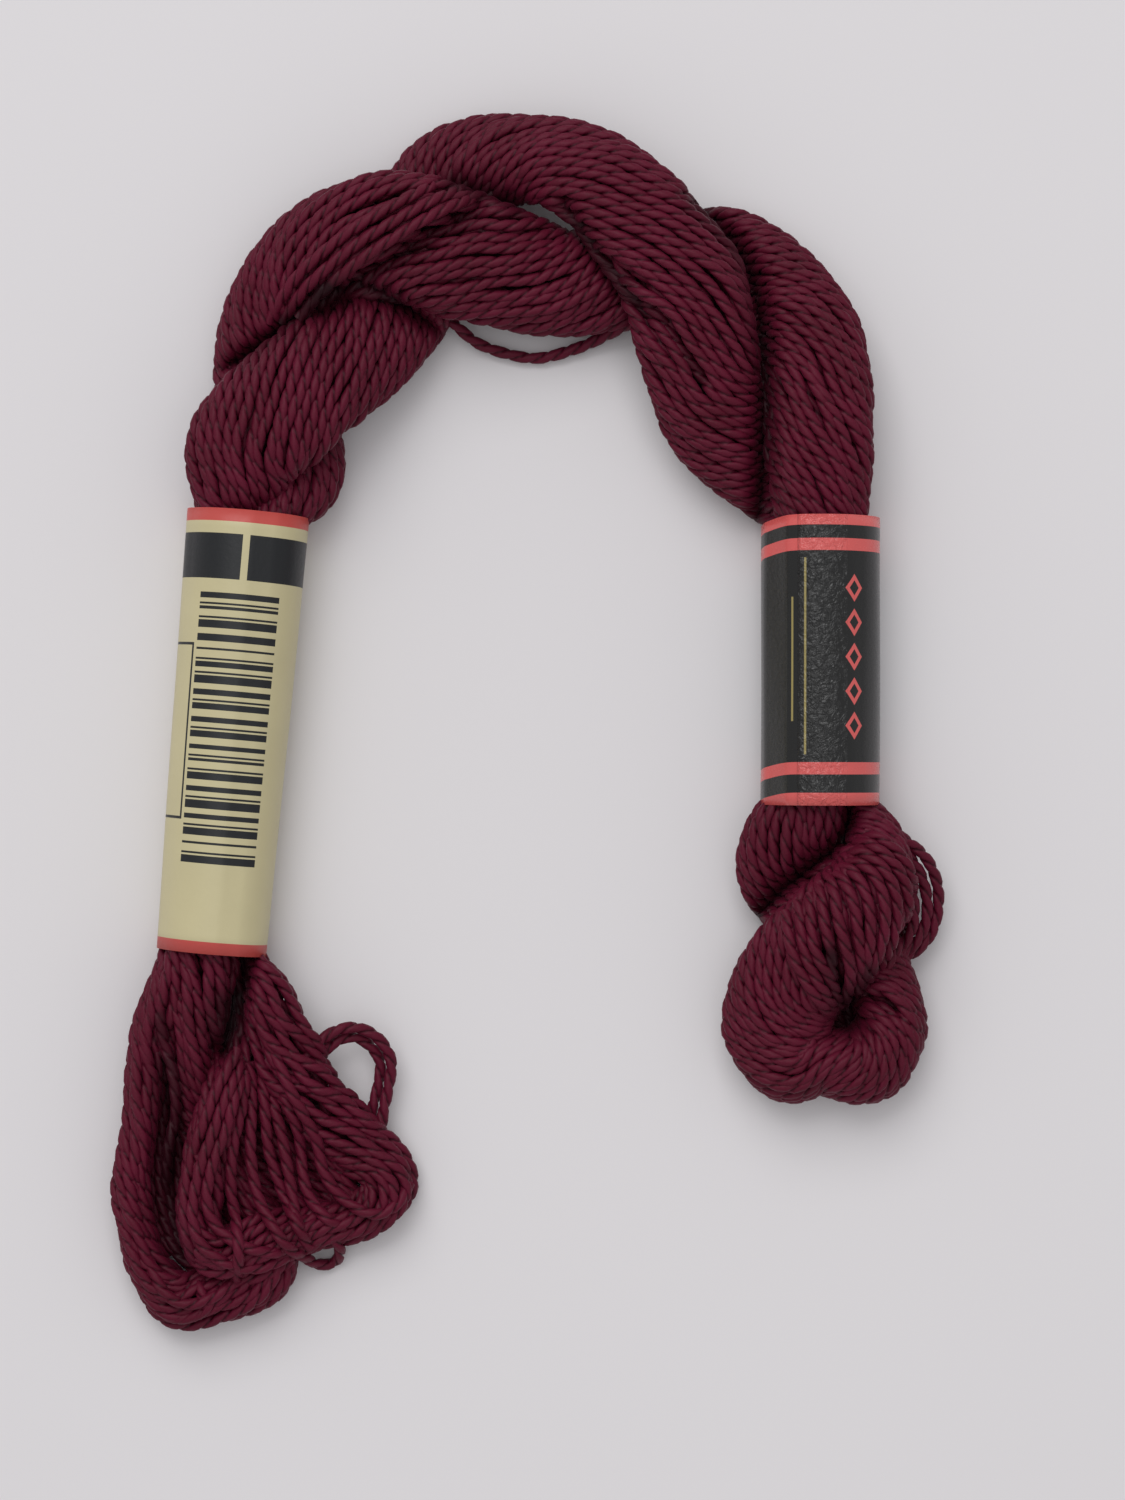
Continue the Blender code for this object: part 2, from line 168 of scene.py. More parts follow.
LEFT_LOOP = (
    (-31.4, -17.4, 4.6, 1.7, 2.9, 0),
    (-31.8, -21.4, 4.8, 1.8, 2.9, 0),
    (-33.1, -24.8, 4.9, 2.0, 2.9, 0),
    (-34.3, -28.5, 4.3, 2.0, 2.8, 0),
    (-34.9, -32.5, 3.7, 1.9, 2.8, 0),
    (-35.4, -36.6, 3.3, 1.7, 2.8, 0),
    (-36.2, -41.6, 3.0, 1.75, 2.8, 0),
    (-35.9, -46.0, 2.9, 1.8, 2.7, 0),
    (-34.8, -49.8, 2.7, 2.1, 2.6, 0),
    (-32.2, -52.7, 2.5, 2.6, 2.5, 0),
    (-28.6, -52.3, 2.4, 2.6, 2.4, 0),
    (-24.8, -51.2, 2.3, 2.7, 2.3, 0),
    (-23.2, -49.0, 2.1, 2.2, 2.1, 0),
    (-25.2, -45.2, 1.8, 2.6, 1.7, 0),
    (-28.4, -40.0, 1.3, 2.6, 1.2, 0),
    (-30.4, -35.6, 2.0, 2.2, 1.8, 0),
    (-30.6, -31.0, 3.9, 2.4, 2.4, 0),
    (-30.0, -25.8, 5.3, 2.9, 2.6, 0),
    (-29.4, -21.6, 5.7, 3.0, 2.7, 0),
    (-28.9, -17.4, 5.5, 2.7, 2.8, 0),
)
FRONT_LOOP = (
    (-26.2, -17.4, 4.2, 1.3, 2.6, 0),
    (-25.3, -21.4, 5.1, 1.3, 2.7, 0),
    (-23.8, -24.6, 5.1, 2.3, 2.7, 0),
    (-22.6, -28.6, 4.6, 3.0, 2.3, 0),
    (-20.4, -33.5, 3.8, 3.4, 2.1, 0),
    (-16.8, -37.6, 3.0, 3.1, 2.1, 0),
    (-13.5, -40.6, 2.3, 2.7, 2.2, 0),
    (-13.1, -43.2, 2.1, 2.5, 2.1, 0),
    (-15.8, -45.5, 2.3, 2.1, 2.1, 0),
    (-19.9, -46.2, 3.1, 2.2, 2.0, 0),
    (-24.3, -47.4, 4.5, 2.6, 1.9, 0),
    (-28.2, -48.3, 4.8, 2.6, 1.9, 0),
    (-29.9, -45.6, 4.8, 2.1, 2.0, 0),
    (-29.3, -39.6, 5.0, 2.1, 2.0, 0),
    (-28.0, -34.4, 4.9, 2.0, 2.0, 0),
    (-26.8, -30.0, 3.6, 1.5, 1.7, 0),
    (-26.3, -26.0, 2.3, 1.3, 1.5, 0),
    (-27.2, -21.6, 2.8, 1.2, 1.4, 0),
    (-28.0, -17.4, 3.4, 1.2, 1.4, 0),
)
# Three bunches between the two loops of the left end.
MIDDLE_THREADS = (
    (
        (-27.0, -29.8, 2.6, 1.0, 1.2, 0),
        (-26.9, -33.6, 3.2, 1.5, 1.3, 0),
        (-26.8, -39.0, 3.2, 1.8, 1.3, 0),
        (-25.9, -43.6, 3.1, 1.6, 1.3, 0),
        (-23.4, -47.0, 3.2, 1.2, 1.3, 0),
    ),
    (
        (-25.2, -31.6, 2.6, 1.0, 1.2, 0),
        (-23.7, -35.4, 2.9, 1.4, 1.3, 0),
        (-22.2, -40.8, 2.6, 1.5, 1.3, 0),
        (-19.9, -46.2, 2.4, 1.3, 1.2, 0),
    ),
    (
        (-22.6, -33.0, 2.6, 1.2, 1.2, 0),
        (-19.6, -37.8, 2.5, 1.6, 1.3, 0),
        (-17.3, -42.4, 2.0, 1.6, 1.2, 0),
        (-16.0, -45.6, 1.9, 1.2, 1.1, 0),
    ),
)
# The lowest threads of the left end, on which the loops lie.
BED_THREADS = (
    (
        (-29.4, -36.0, 1.2, 2.4, 0.8, 0),
        (-28.4, -41.0, 1.2, 3.2, 0.8, 0),
        (-26.6, -45.6, 1.2, 3.6, 0.8, 0),
        (-24.6, -49.0, 1.2, 3.0, 0.8, 0),
    ),
    (
        (-26.4, -33.0, 1.6, 3.0, 1.1, 0),
        (-23.6, -38.0, 1.4, 4.0, 0.9, 0),
        (-20.6, -42.6, 1.4, 4.4, 0.9, 0),
        (-18.6, -45.6, 1.4, 3.2, 0.9, 0),
    ),
)
# Single threads that stray from the hank: x, y, z.
STRAYS = (
    ((-8.6, 38.1, 3.4), (-6.4, 36.0, 2.2), (-4.5, 34.6, 1.3), (-1.7, 33.7, 0.8), (1.0, 33.4, 0.7),
     (4.2, 34.2, 1.0), (6.7, 35.2, 1.7), (11.5, 37.4, 4.4)),
    ((-21.0, -31.4, 4.4), (-18.5, -28.7, 4.2), (-16.1, -27.9, 3.8), (-13.9, -28.8, 3.2),
     (-12.6, -31.0, 2.7), (-12.9, -33.7, 2.4), (-13.4, -36.2, 2.3), (-13.5, -39.8, 2.2)),
    ((-21.0, -32.6, 4.0), (-18.1, -29.6, 3.4), (-16.1, -28.8, 3.0), (-14.5, -29.7, 2.5),
     (-13.6, -31.3, 2.0), (-13.9, -33.7, 1.7), (-14.5, -36.2, 1.7), (-14.5, -39.8, 1.8)),
    ((31.2, -8.4, 6.6), (32.4, -9.6, 6.2), (34.4, -10.9, 5.4), (36.2, -12.5, 4.5),
     (37.2, -14.6, 3.7), (37.4, -16.8, 3.1), (36.9, -19.1, 2.8), (35.5, -20.9, 2.8),
     (32.4, -22.6, 3.2)),
    ((31.4, -8.8, 6.3), (33.8, -11.4, 5.2), (35.4, -13.4, 4.4), (36.2, -15.6, 3.9),
     (36.3, -17.8, 3.5), (35.6, -19.8, 3.4), (34.0, -21.4, 3.4), (31.6, -22.8, 3.4)),
    ((31.0, -10.4, 6.4), (33.4, -12.6, 5.4), (34.6, -14.8, 4.6), (35.1, -17.0, 4.2),
     (34.8, -19.2, 4.0), (33.6, -20.9, 3.8), (31.4, -22.4, 3.6)),
)

# Single threads that lie over others: x, y, height above what they lie on. First those that
# lie loosely over the left end.
LOOSE_THREADS = (
    ((-26.4, -29.8, -1.0), (-27.5, -31.9, 0.0), (-28.4, -33.8, 0.2), (-29.3, -36.2, 0.2),
     (-30.3, -38.8, 0.1), (-30.9, -41.4, 0.0), (-31.2, -44.6, 0.0), (-30.8, -47.4, 0.0),
     (-30.0, -49.4, 0.0), (-28.6, -50.5, 0.0), (-26.9, -50.9, 0.0), (-25.0, -50.7, 0.1),
     (-23.1, -50.1, 0.0), (-21.5, -48.9, -0.8)),
    ((-26.1, -31.0, -1.4), (-27.0, -33.2, 0.1), (-27.9, -35.4, 0.2), (-28.7, -37.7, 0.2),
     (-29.6, -40.1, 0.2), (-30.2, -42.7, 0.2), (-30.4, -45.0, 0.2), (-29.7, -47.2, 0.2),
     (-28.2, -48.6, 0.2), (-26.3, -49.5, 0.2), (-24.2, -49.6, 0.0), (-22.0, -48.8, -0.8)),
    ((-25.9, -31.9, -1.4), (-26.7, -34.5, 0.4), (-27.4, -37.1, 0.5), (-28.3, -39.2, 0.4),
     (-28.9, -41.4, 0.3), (-29.1, -43.5, 0.3), (-28.5, -45.4, 0.3), (-27.0, -46.9, 0.3),
     (-25.1, -47.8, 0.2), (-22.7, -48.4, -0.4)),
    ((-25.6, -31.6, -1.6), (-25.8, -33.2, -0.3), (-26.1, -35.4, 0.6), (-26.7, -37.9, 0.7),
     (-27.0, -40.5, 0.7), (-27.0, -43.1, 0.6), (-26.6, -45.2, 0.7), (-26.2, -47.6, 0.8),
     (-26.4, -49.9, 0.3), (-26.9, -51.6, -0.6)),
    ((-25.4, -31.0, -1.0), (-25.2, -33.2, 0.2), (-25.2, -35.6, 0.4), (-25.3, -38.2, 0.4),
     (-25.1, -40.9, 0.4), (-24.5, -43.5, 0.5), (-23.3, -45.6, 0.6), (-21.9, -47.6, 0.5),
     (-20.6, -48.8, 0.3), (-19.7, -49.6, 0.0), (-18.6, -49.9, 0.0), (-17.6, -49.4, 0.0),
     (-17.3, -48.2, 0.0), (-17.9, -46.8, -0.8)),
    ((-24.6, -31.8, -1.6), (-24.2, -33.4, -0.3), (-23.9, -36.2, 0.1), (-23.7, -38.8, 0.1),
     (-23.0, -41.3, 0.1), (-22.1, -43.7, 0.2), (-21.0, -45.8, 0.4), (-20.0, -47.9, -0.6)),
    ((-23.9, -33.4, -1.6), (-23.2, -35.0, -0.3), (-22.5, -37.5, 0.0), (-22.1, -39.8, 0.1),
     (-21.6, -42.6, 0.2), (-21.2, -45.0, 0.3), (-20.3, -47.2, -0.6)),
    ((-22.9, -33.0, -1.6), (-22.1, -34.6, -0.3), (-21.2, -36.6, 0.1), (-20.8, -38.8, 0.1),
     (-20.6, -41.3, 0.2), (-19.9, -43.5, 0.3), (-18.4, -45.2, 0.2), (-16.9, -46.2, -1.0)),
    ((-23.6, -28.6, -1.4), (-21.9, -32.8, 0.2), (-20.4, -35.8, 0.3), (-19.3, -38.1, 0.1),
     (-18.8, -40.7, 0.2), (-17.6, -42.8, 0.2), (-15.8, -44.3, 0.3), (-13.7, -44.9, 0.0),
     (-11.9, -43.9, 0.0), (-10.9, -42.2, -0.4)),
    ((-29.3, -47.8, -0.2), (-29.6, -49.9, 0.4), (-29.9, -51.6, 0.3), (-29.3, -53.3, -0.3)),
    ((-34.7, -48.8, -0.4), (-33.4, -51.6, 0.2), (-31.5, -53.0, 0.2), (-29.4, -52.7, 0.2),
     (-27.4, -51.6, 0.2), (-26.1, -50.4, -0.6)),
    ((-33.7, -24.4, -0.2), (-34.6, -28.0, 0.1), (-35.4, -31.6, 0.1), (-35.9, -35.4, 0.1),
     (-36.6, -38.8, 0.0), (-37.3, -42.0, -0.2), (-37.0, -46.0, -0.8)),
    ((-33.3, -22.6, -0.2), (-33.4, -26.4, 0.2), (-33.0, -29.4, 0.2), (-32.3, -32.0, 0.2),
     (-32.1, -35.4, 0.2), (-32.7, -38.0, -0.4), (-33.1, -40.6, -1.8), (-33.3, -43.4, -3.4)),
)
# Those that run over the fold at the right end and dive into its eye.
FOLD_THREADS = (
    ((30.5, -10.1, -1.0), (32.1, -10.8, 0.0), (33.7, -12.3, 0.1), (34.7, -14.2, 0.1),
     (35.0, -16.2, 0.0), (34.9, -18.4, -0.1), (34.2, -20.3, -0.4), (33.4, -21.9, -1.0)),
    ((29.6, -10.8, -1.0), (31.1, -11.3, 0.1), (32.7, -12.6, 0.2), (33.8, -14.3, 0.2),
     (34.3, -16.5, 0.2), (34.1, -18.7, 0.1), (33.5, -20.6, -0.1), (32.6, -22.2, -0.5),
     (31.6, -23.5, -1.2)),
    ((28.6, -11.8, -1.0), (30.0, -11.8, 0.1), (31.6, -12.9, 0.2), (32.7, -14.6, 0.3),
     (33.2, -16.8, 0.3), (33.0, -19.1, 0.2), (32.5, -20.8, 0.0), (31.8, -22.4, -0.4),
     (31.1, -23.8, -1.2)),
    ((28.9, -12.6, -0.8), (30.3, -13.1, 0.2), (31.5, -14.6, 0.3), (32.0, -16.8, 0.4),
     (32.0, -19.0, 0.3), (31.6, -20.8, 0.1), (31.0, -22.4, -0.3), (30.7, -24.0, -1.2)),
    ((28.3, -13.0, -0.8), (29.4, -13.8, 0.2), (30.3, -15.6, 0.4), (30.7, -17.8, 0.4),
     (30.7, -19.9, 0.3), (30.5, -21.4, 0.0), (30.3, -23.2, -0.8), (30.1, -24.8, -2.0)),
    ((27.8, -13.7, -0.6), (28.6, -14.9, 0.3), (29.3, -16.9, 0.4), (29.6, -19.1, 0.4),
     (29.9, -21.0, 0.1), (30.0, -22.6, -0.6), (29.9, -24.4, -1.8)),
    ((27.0, -13.7, -0.6), (27.5, -15.6, 0.3), (27.8, -17.8, 0.4), (28.4, -20.0, 0.4),
     (28.9, -21.9, 0.2), (29.0, -23.5, -0.3), (28.8, -25.0, -1.4), (28.7, -26.4, -2.6)),
    ((26.2, -14.6, -0.6), (26.4, -16.5, 0.2), (26.7, -18.7, 0.3), (27.2, -20.6, 0.2),
     (27.3, -22.2, -0.3), (27.5, -23.6, -1.2)),
    ((25.3, -15.6, -0.4), (25.4, -17.8, 0.2), (25.6, -20.0, 0.3), (26.2, -21.6, 0.2),
     (27.0, -22.9, -0.1), (27.7, -24.4, -0.8), (28.2, -25.8, -2.0)),
    ((24.3, -16.2, -0.4), (24.5, -18.4, 0.1), (24.8, -20.6, 0.2), (25.6, -22.6, 0.2),
     (26.6, -24.4, 0.0), (27.6, -25.9, -0.8), (28.4, -27.0, -2.2)),
    ((23.2, -17.2, -0.4), (23.4, -19.2, 0.1), (23.9, -21.2, 0.2), (24.8, -23.1, 0.2),
     (26.0, -25.0, 0.1), (27.4, -26.6, -0.7), (28.4, -27.6, -2.2)),
)
# Those that run along the first crease, where the second ply passes over the first.
EDGE_THREADS = (
    ((-20.8, 36.4, -1.2), (-18.6, 38.6, 0.2), (-14.9, 41.4, 0.5), (-11.5, 43.6, 0.6),
     (-8.2, 45.6, 0.4), (-6.2, 46.6, -0.4), (-4.8, 47.4, -2.0)),
    ((-22.4, 36.2, -1.2), (-19.8, 39.2, 0.1), (-15.8, 42.4, 0.3), (-12.3, 44.6, 0.4),
     (-9.0, 46.5, 0.2), (-7.2, 47.4, -0.6), (-5.8, 48.2, -2.2)),
    ((-23.6, 36.2, -1.2), (-21.0, 39.8, 0.0), (-17.0, 43.2, 0.1), (-13.2, 45.6, 0.2),
     (-10.2, 47.3, 0.0), (-8.6, 48.2, -0.8)),
)
# Threads that show deep down between the loops of both ends: x, y, z.
DEEP_THREADS = (
    ((-32.4, -29.0, 3.2), (-33.0, -33.0, 2.2), (-33.6, -37.0, 1.5), (-33.9, -41.0, 1.2),
     (-33.6, -45.0, 1.1), (-32.4, -48.6, 1.1), (-30.4, -50.6, 1.2)),
    ((-31.8, -31.0, 2.4), (-32.4, -35.0, 1.6), (-32.9, -39.0, 1.0), (-33.0, -43.0, 0.9),
     (-32.5, -46.6, 0.9), (-31.2, -49.2, 0.9), (-29.4, -50.6, 1.0)),
    ((-31.2, -32.0, 2.2), (-31.8, -36.0, 1.2), (-32.1, -40.0, 0.8), (-32.1, -44.0, 0.7),
     (-31.5, -47.2, 0.7), (-30.0, -49.2, 0.8)),
    ((-30.6, -33.0, 1.8), (-31.0, -37.0, 0.9), (-31.2, -41.0, 0.7), (-31.1, -45.0, 0.6),
     (-30.2, -47.8, 0.6), (-28.6, -49.4, 0.7)),
    ((-34.2, -34.0, 1.4), (-34.5, -38.0, 0.9), (-34.6, -42.0, 0.7), (-34.2, -46.0, 0.7),
     (-32.8, -49.0, 0.8)),
    ((-33.4, -45.0, 0.7), (-32.9, -47.4, 0.7), (-31.9, -49.3, 0.7), (-30.2, -50.6, 0.8)),
    ((-15.4, -37.6, 1.0), (-16.3, -40.0, 0.8), (-17.2, -42.6, 0.7), (-18.0, -45.2, 0.7)),
    ((-25.6, -20.4, 2.6), (-26.0, -24.0, 1.8), (-25.8, -28.0, 1.4), (-25.2, -32.0, 1.2),
     (-24.6, -36.0, 1.2)),
    ((26.6, -22.0, 1.6), (27.6, -24.6, 1.0), (28.4, -27.0, 0.8), (28.9, -29.6, 0.8)),
    ((27.6, -21.8, 1.6), (28.6, -24.4, 1.0), (29.3, -26.8, 0.8), (29.8, -29.4, 0.8)),
    ((28.8, -21.6, 1.6), (29.6, -24.2, 1.0), (30.2, -26.6, 0.8), (30.6, -29.2, 0.8)),
    ((29.4, -7.8, 2.6), (28.9, -10.4, 2.2), (27.4, -12.6, 2.0), (24.6, -14.6, 1.8)),
    ((28.6, -7.8, 2.4), (28.0, -10.2, 2.0), (26.4, -12.2, 1.8), (23.8, -14.0, 1.6)),
    ((26.2, -25.4, 0.8), (27.8, -26.2, 0.6), (29.6, -26.8, 0.6), (31.4, -27.0, 0.7)),
    ((26.0, -26.8, 0.8), (27.6, -27.6, 0.6), (29.4, -28.2, 0.6), (31.0, -28.4, 0.7)),
)

# Creases between the plies: how deep they press the threads down, how much painted shade darkens
# the threads in them, how wide they are, on which side of the line (1 to its right, -1 to its
# left, 0 on both), and the line.
CREASES = (
    (2.4, 0.6, 1.6, 1, ((-19.0, 37.4), (-15.0, 40.4), (-10.4, 43.4), (-5.4, 46.4))),
    (2.6, 1.0, 1.4, 1,
     ((-26.8, 33.2), (-24.3, 34.8), (-19.8, 38.2), (-15.9, 39.9), (-12.6, 39.0), (-9.0, 36.8))),
    (0.8, 0.9, 1.2, 0, ((-6.6, 48.6), (-3.6, 47.9), (-1.0, 46.9))),
    (1.6, 0.9, 1.0, 1, ((3.8, 46.6), (6.6, 42.6), (8.6, 39.9), (11.0, 37.0))),
    (1.0, 0.5, 0.5, 0, ((11.0, 37.0), (13.1, 34.8), (16.0, 30.6))),
    (2.8, 0.95, 1.1, 0, ((15.2, 47.2), (19.2, 42.7), (20.9, 37.6), (21.5, 30.4), (21.2, 19.3))),
    (3.8, 1.0, 1.4, -1,
     ((21.0, -18.4), (23.1, -16.1), (26.4, -13.2), (28.0, -11.9), (29.4, -9.9), (29.7, -8.3))),
    (3.2, 0.9, 0.8, 0, ((27.3, -20.8), (27.9, -23.2), (28.8, -25.4), (29.2, -27.2))),
    (2.6, 0.8, 0.6, 0, ((30.8, -22.0), (30.1, -24.0), (29.4, -26.0))),
    (1.6, 0.9, 1.7, 0, ((28.7, -25.2), (29.2, -27.2))),
    (2.0, 0.7, 0.5, 0, ((33.4, -26.4), (32.2, -25.4), (30.8, -25.0), (29.8, -25.8))),
    (4.4, 1.0, 1.0, 0,
     ((-25.7, -21.2), (-26.0, -24.0), (-26.9, -26.3), (-27.0, -28.1), (-27.8, -30.0))),
    (0.8, 0.9, 1.6, 0, ((-27.0, -25.4), (-27.6, -28.4))),
    (0.8, 0.85, 1.3, 0, ((-32.9, -31.0), (-32.8, -36.0), (-33.0, -44.0), (-31.9, -49.0))),
    (1.2, 0.6, 0.5, 0, ((-33.2, -26.4), (-33.2, -29.6), (-32.9, -34.6))),
)
DEPTH, CREASE_PAINTED_SHADE = 0, 1  # columns of a crease
CREASE_POINTS = 3  # on its line, in a stretch as long as it is wide
# A crease with a side ends soon beyond its line: there a distance counts this many times, and
# this share of the crease's width is added.
BEYOND_STEEPNESS = 3
BEYOND_START = 0.4

# ---------------- the two bands

# Middles of the top and bottom rims, the half width and half height there, the angles of the
# paper's inner and outer ends, round from the right-hand side, the angles between which a flat
# facet is creased into it, and how far its top rim lies lower beyond its outer end.
BANDS = {
    "cream": dict(
        node="long_band",
        top=(-25.4, 19.0),
        bottom=(-28.8, -21.0),
        top_half=(5.5, 5.1),
        bottom_half=(4.95, 4.75),
        ends=(165, 565),
        facet=(58, 82),
        lowered=0.0,
    ),
    "black": dict(
        node="short_band",
        top=(26.55, 18.6),
        bottom=(26.5, -7.6),
        top_half=(5.42, 5.1),
        bottom_half=(5.42, 5.1),
        ends=(67, 475),
        facet=(126, 162),
        lowered=1.0,
    ),
}
PRESSED = 0.25  # how far a band's lowest line is pressed into the surface, which flattens it
PAPER = 0.13  # how thick it is
PAPER_ROUND, PAPER_ALONG = 120, 24  # faces of the paper round the band and along it
SNUG = 0.02  # the paper's outside lies this much inside the band's oval
CLIMB = 0.25  # radians in which the paper climbs onto its own inner end
OVERLAP_RISE = 1.2  # how high it climbs, in thicknesses of the paper
ASKEW_ROUND = 190  # how far round from the outer end the top rim lies lower
RIM_DIP = 0.15  # how much lower the top rim lies at the sides, and twice that underneath
# Soft lumps in the paper: the height and number of their waves, the least number round the band
# and one more than the most, and how fast they turn along it, in radians to a millimetre.
LUMP = 0.012
LUMP_WAVES = 4
LUMPS_ROUND = (2, 6)
LUMPS_ALONG = (0.1, 0.3)

HANK_SEED = 7
PAPER_SEED = 11


def smooth_rows(rows, step):
    """The rows' columns along a Catmull-Rom curve through them, about one step apart."""
    rows = np.array(rows, float)
    ends = np.vstack([2 * rows[0] - rows[1], rows, 2 * rows[-1] - rows[-2]])
    made = []
    for i in range(len(rows) - 1):
        a, b, c, d = ends[i : i + 4]
        square, cube = 2 * a - 5 * b + 4 * c - d, 3 * b - a - 3 * c + d
        count = max(1, round(np.linalg.norm(c[:3] - b[:3]) / step))
        for t in np.arange(count) / count:
            made.append(0.5 * (2 * b + (c - a) * t + square * t**2 + cube * t**3))
    return np.array([*made, rows[-1]])


def run_along(points):
    """The length of the way from the first point to each of them."""
    steps = np.linalg.norm(np.diff(points, axis=0), axis=1)
    return np.concatenate([[0.0], np.cumsum(steps)])


def wander(random, run, count):
    """A slow, smooth drift between about -1 and 1 for each of count threads along the run."""
    drift = np.zeros((len(run), count))
    for length in DRIFT_LENGTHS:
        phase = random.uniform(0, math.tau, count)
        wave = length * random.uniform(*DRIFT_SPREAD, count)
        drift += np.sin(math.tau * run[:, None] / wave + phase)
    # The sum of some waves seldom passes 1.4 times the square root of their number.
    return drift / len(DRIFT_LENGTHS) ** 0.5 / 1.4


def near_creases(places, column):
    """The creases' depth or painted shade, the column asked for, at places in the view from above.
    """
    most = np.zeros(places.shape[:-1])
    for *amounts, wide, side, line in CREASES:
        line = smooth_rows([(x, y, 0) for x, y in line], wide / CREASE_POINTS)[:, :2]
        along = np.gradient(line, axis=0)
        along /= np.linalg.norm(along, axis=1, keepdims=True)
        near = np.full(most.shape, np.inf)
        for point, ahead in zip(line, along):
            away = places[..., :2] - point
            right = away[..., 0] * ahead[1] - away[..., 1] * ahead[0]
            distance = np.hypot(away[..., 0], away[..., 1])
            if side:
                beyond = BEYOND_STEEPNESS * distance + BEYOND_START * wide
                distance = np.where(right * side > 0, distance, beyond)
            near = np.minimum(near, distance)
        most = np.maximum(most, amounts[column] * np.exp(-((near / wide) ** 2)))
    return most


def ply_directions(rows):
    """For each section of a ply, its middle and the directions of its width and thickness."""
    middle = rows[:, :3]
    along = np.gradient(middle, axis=0)
    along /= np.linalg.norm(along, axis=1, keepdims=True)
    left = np.cross((0.0, 0.0, 1.0), along)
    left /= np.linalg.norm(left, axis=1, keepdims=True)
    up = np.cross(along, left)
    roll = np.radians(rows[:, 5:6])
    across = np.cos(roll) * left + np.sin(roll) * up
    rise = np.cos(roll) * up - np.sin(roll) * left
    return middle, across, rise


def shares_round(bundle, run, place, random):
    """How far round its ply each thread lies, as a share, at each section."""
    part = run / run[-1]
    shares, pitches = zip(*bundle["pitches"])
    turned = np.cumsum(np.diff(run) / np.interp(part[1:], shares, pitches))
    turned = np.concatenate([[0.0], turned])
    drift = wander(random, run, len(place))
    return place - turned[:, None] + drift * bundle["uneven"] / len(place)


def depths_within(bundle, run, place, depth, random):
    """How deep each thread lies in its ply: in loose groups, with a shallow valley between two."""
    wide_groups = np.cos(math.tau * (WIDE_GROUPS * place + random.uniform()))
    narrow_groups = np.cos(math.tau * (NARROW_GROUPS * place + random.uniform()))
    groups = wide_groups + NARROW_SHARE * narrow_groups
    return depth + bundle["loose"] * (wander(random, run, len(place)) - GROUP_DEPTH * groups)


def ring_of_threads(bundle, rows, count, random, depth):
    """Paths of threads laid side by side round a ply, turning slowly about its middle."""
    rows = smooth_rows(rows, STEP)
    middle, across, rise = ply_directions(rows)
    run = run_along(middle)
    place = (np.arange(count) + random.uniform(-PLACE_SPREAD, PLACE_SPREAD, count)) / count
    share = shares_round(bundle, run, place, random)
    depth = depths_within(bundle, run, place, depth, random)

    turn = np.linspace(0, math.tau, OUTLINE_POINTS)
    paths = np.empty((count, len(rows), 3))
    on_top = np.empty((count, len(rows)))
    for i, (half_width, half_thickness) in enumerate(rows[:, 3:5]):
        x, z = half_width * np.cos(turn), half_thickness * np.sin(turn)
        length = np.concatenate([[0.0], np.cumsum(np.hypot(np.diff(x), np.diff(z)))])
        angle = np.interp(share[i] % 1.0, length / length[-1], turn)
        x = np.maximum(half_width - depth[i], LEAST_HALF) * np.cos(angle)
        z = np.maximum(half_thickness - depth[i], LEAST_HALF) * np.sin(angle)
        paths[:, i] = middle[i] + x[:, None] * across[i] + z[:, None] * rise[i]
        on_top[:, i] = np.clip(UPPER_SIDE + np.sin(angle), 0, 1)
    paths[..., 2] -= on_top * near_creases(paths, DEPTH)
    paths[..., 2] = np.maximum(paths[..., 2], THREAD / 2)
    return paths


def even_path(path, step):
    """The path's points again, at even steps along it."""
    run = run_along(path)
    places = np.linspace(0, run[-1], max(2, round(run[-1] / step)))
    return np.column_stack([np.interp(places, run, path[:, axis]) for axis in range(3)])


def surface_height(node):
    """A function that tells how high the node's solid reaches at a place."""
    tree = BVHTree.FromObject(bpy.data.objects[node], bpy.context.evaluated_depsgraph_get())

    def height(x, y):
        start = Vector((x * MM, y * MM, HIGH_ABOVE * MM))
        hit = tree.ray_cast(start, Vector((0, 0, -1)))[0]
        return hit.z / MM if hit else 0.0

    return height


def lie_over(points, height):
    """A thread's path over the hank: its own heights are added to those of what it lies on."""
    path = smooth_rows(points, STEP)
    below = np.array([height(x, y) for x, y in path[:, :2]])
    weights = np.hanning(2 * BRIDGED + 1)
    padded = np.pad(below, BRIDGED, mode="edge")
    path[:, 2] += np.convolve(padded, weights / weights.sum(), mode="valid") + LIFT
    path[:, 2] = np.maximum(path[:, 2], THREAD / 2)
    return path


def add_object(name, data):
    made = bpy.data.objects.new(name, data)
    bpy.context.scene.collection.objects.link(made)
    return made


def outline_curve(name, points):
    """A closed flat outline, used as the section of a thread."""
    data = bpy.data.curves.new(name, "CURVE")
    data.dimensions = "2D"
    spline = data.splines.new("POLY")
    spline.points.add(len(points) - 1)
    for point, (x, y) in zip(spline.points, points):
        point.co = (x * MM, y * MM, 0, 1)
    spline.use_cyclic_u = True
    return add_object(name, data)


def pair_section(turns):
    """Two strands side by side, each an oval with a point at each turn, and their groove."""
    half = THREAD / 2
    points = []
    for side in (1, -1):
        for turn in turns:
            angle = math.radians(turn)
            across = STRAND_MIDDLE + STRAND_HALF_WIDTH * math.cos(angle)
            rise = side * half * STRAND_HALF_HEIGHT * math.sin(angle)
            points.append((side * half * across, rise))
        points.append((0, side * half * GROOVE_HALF_HEIGHT))
    return points


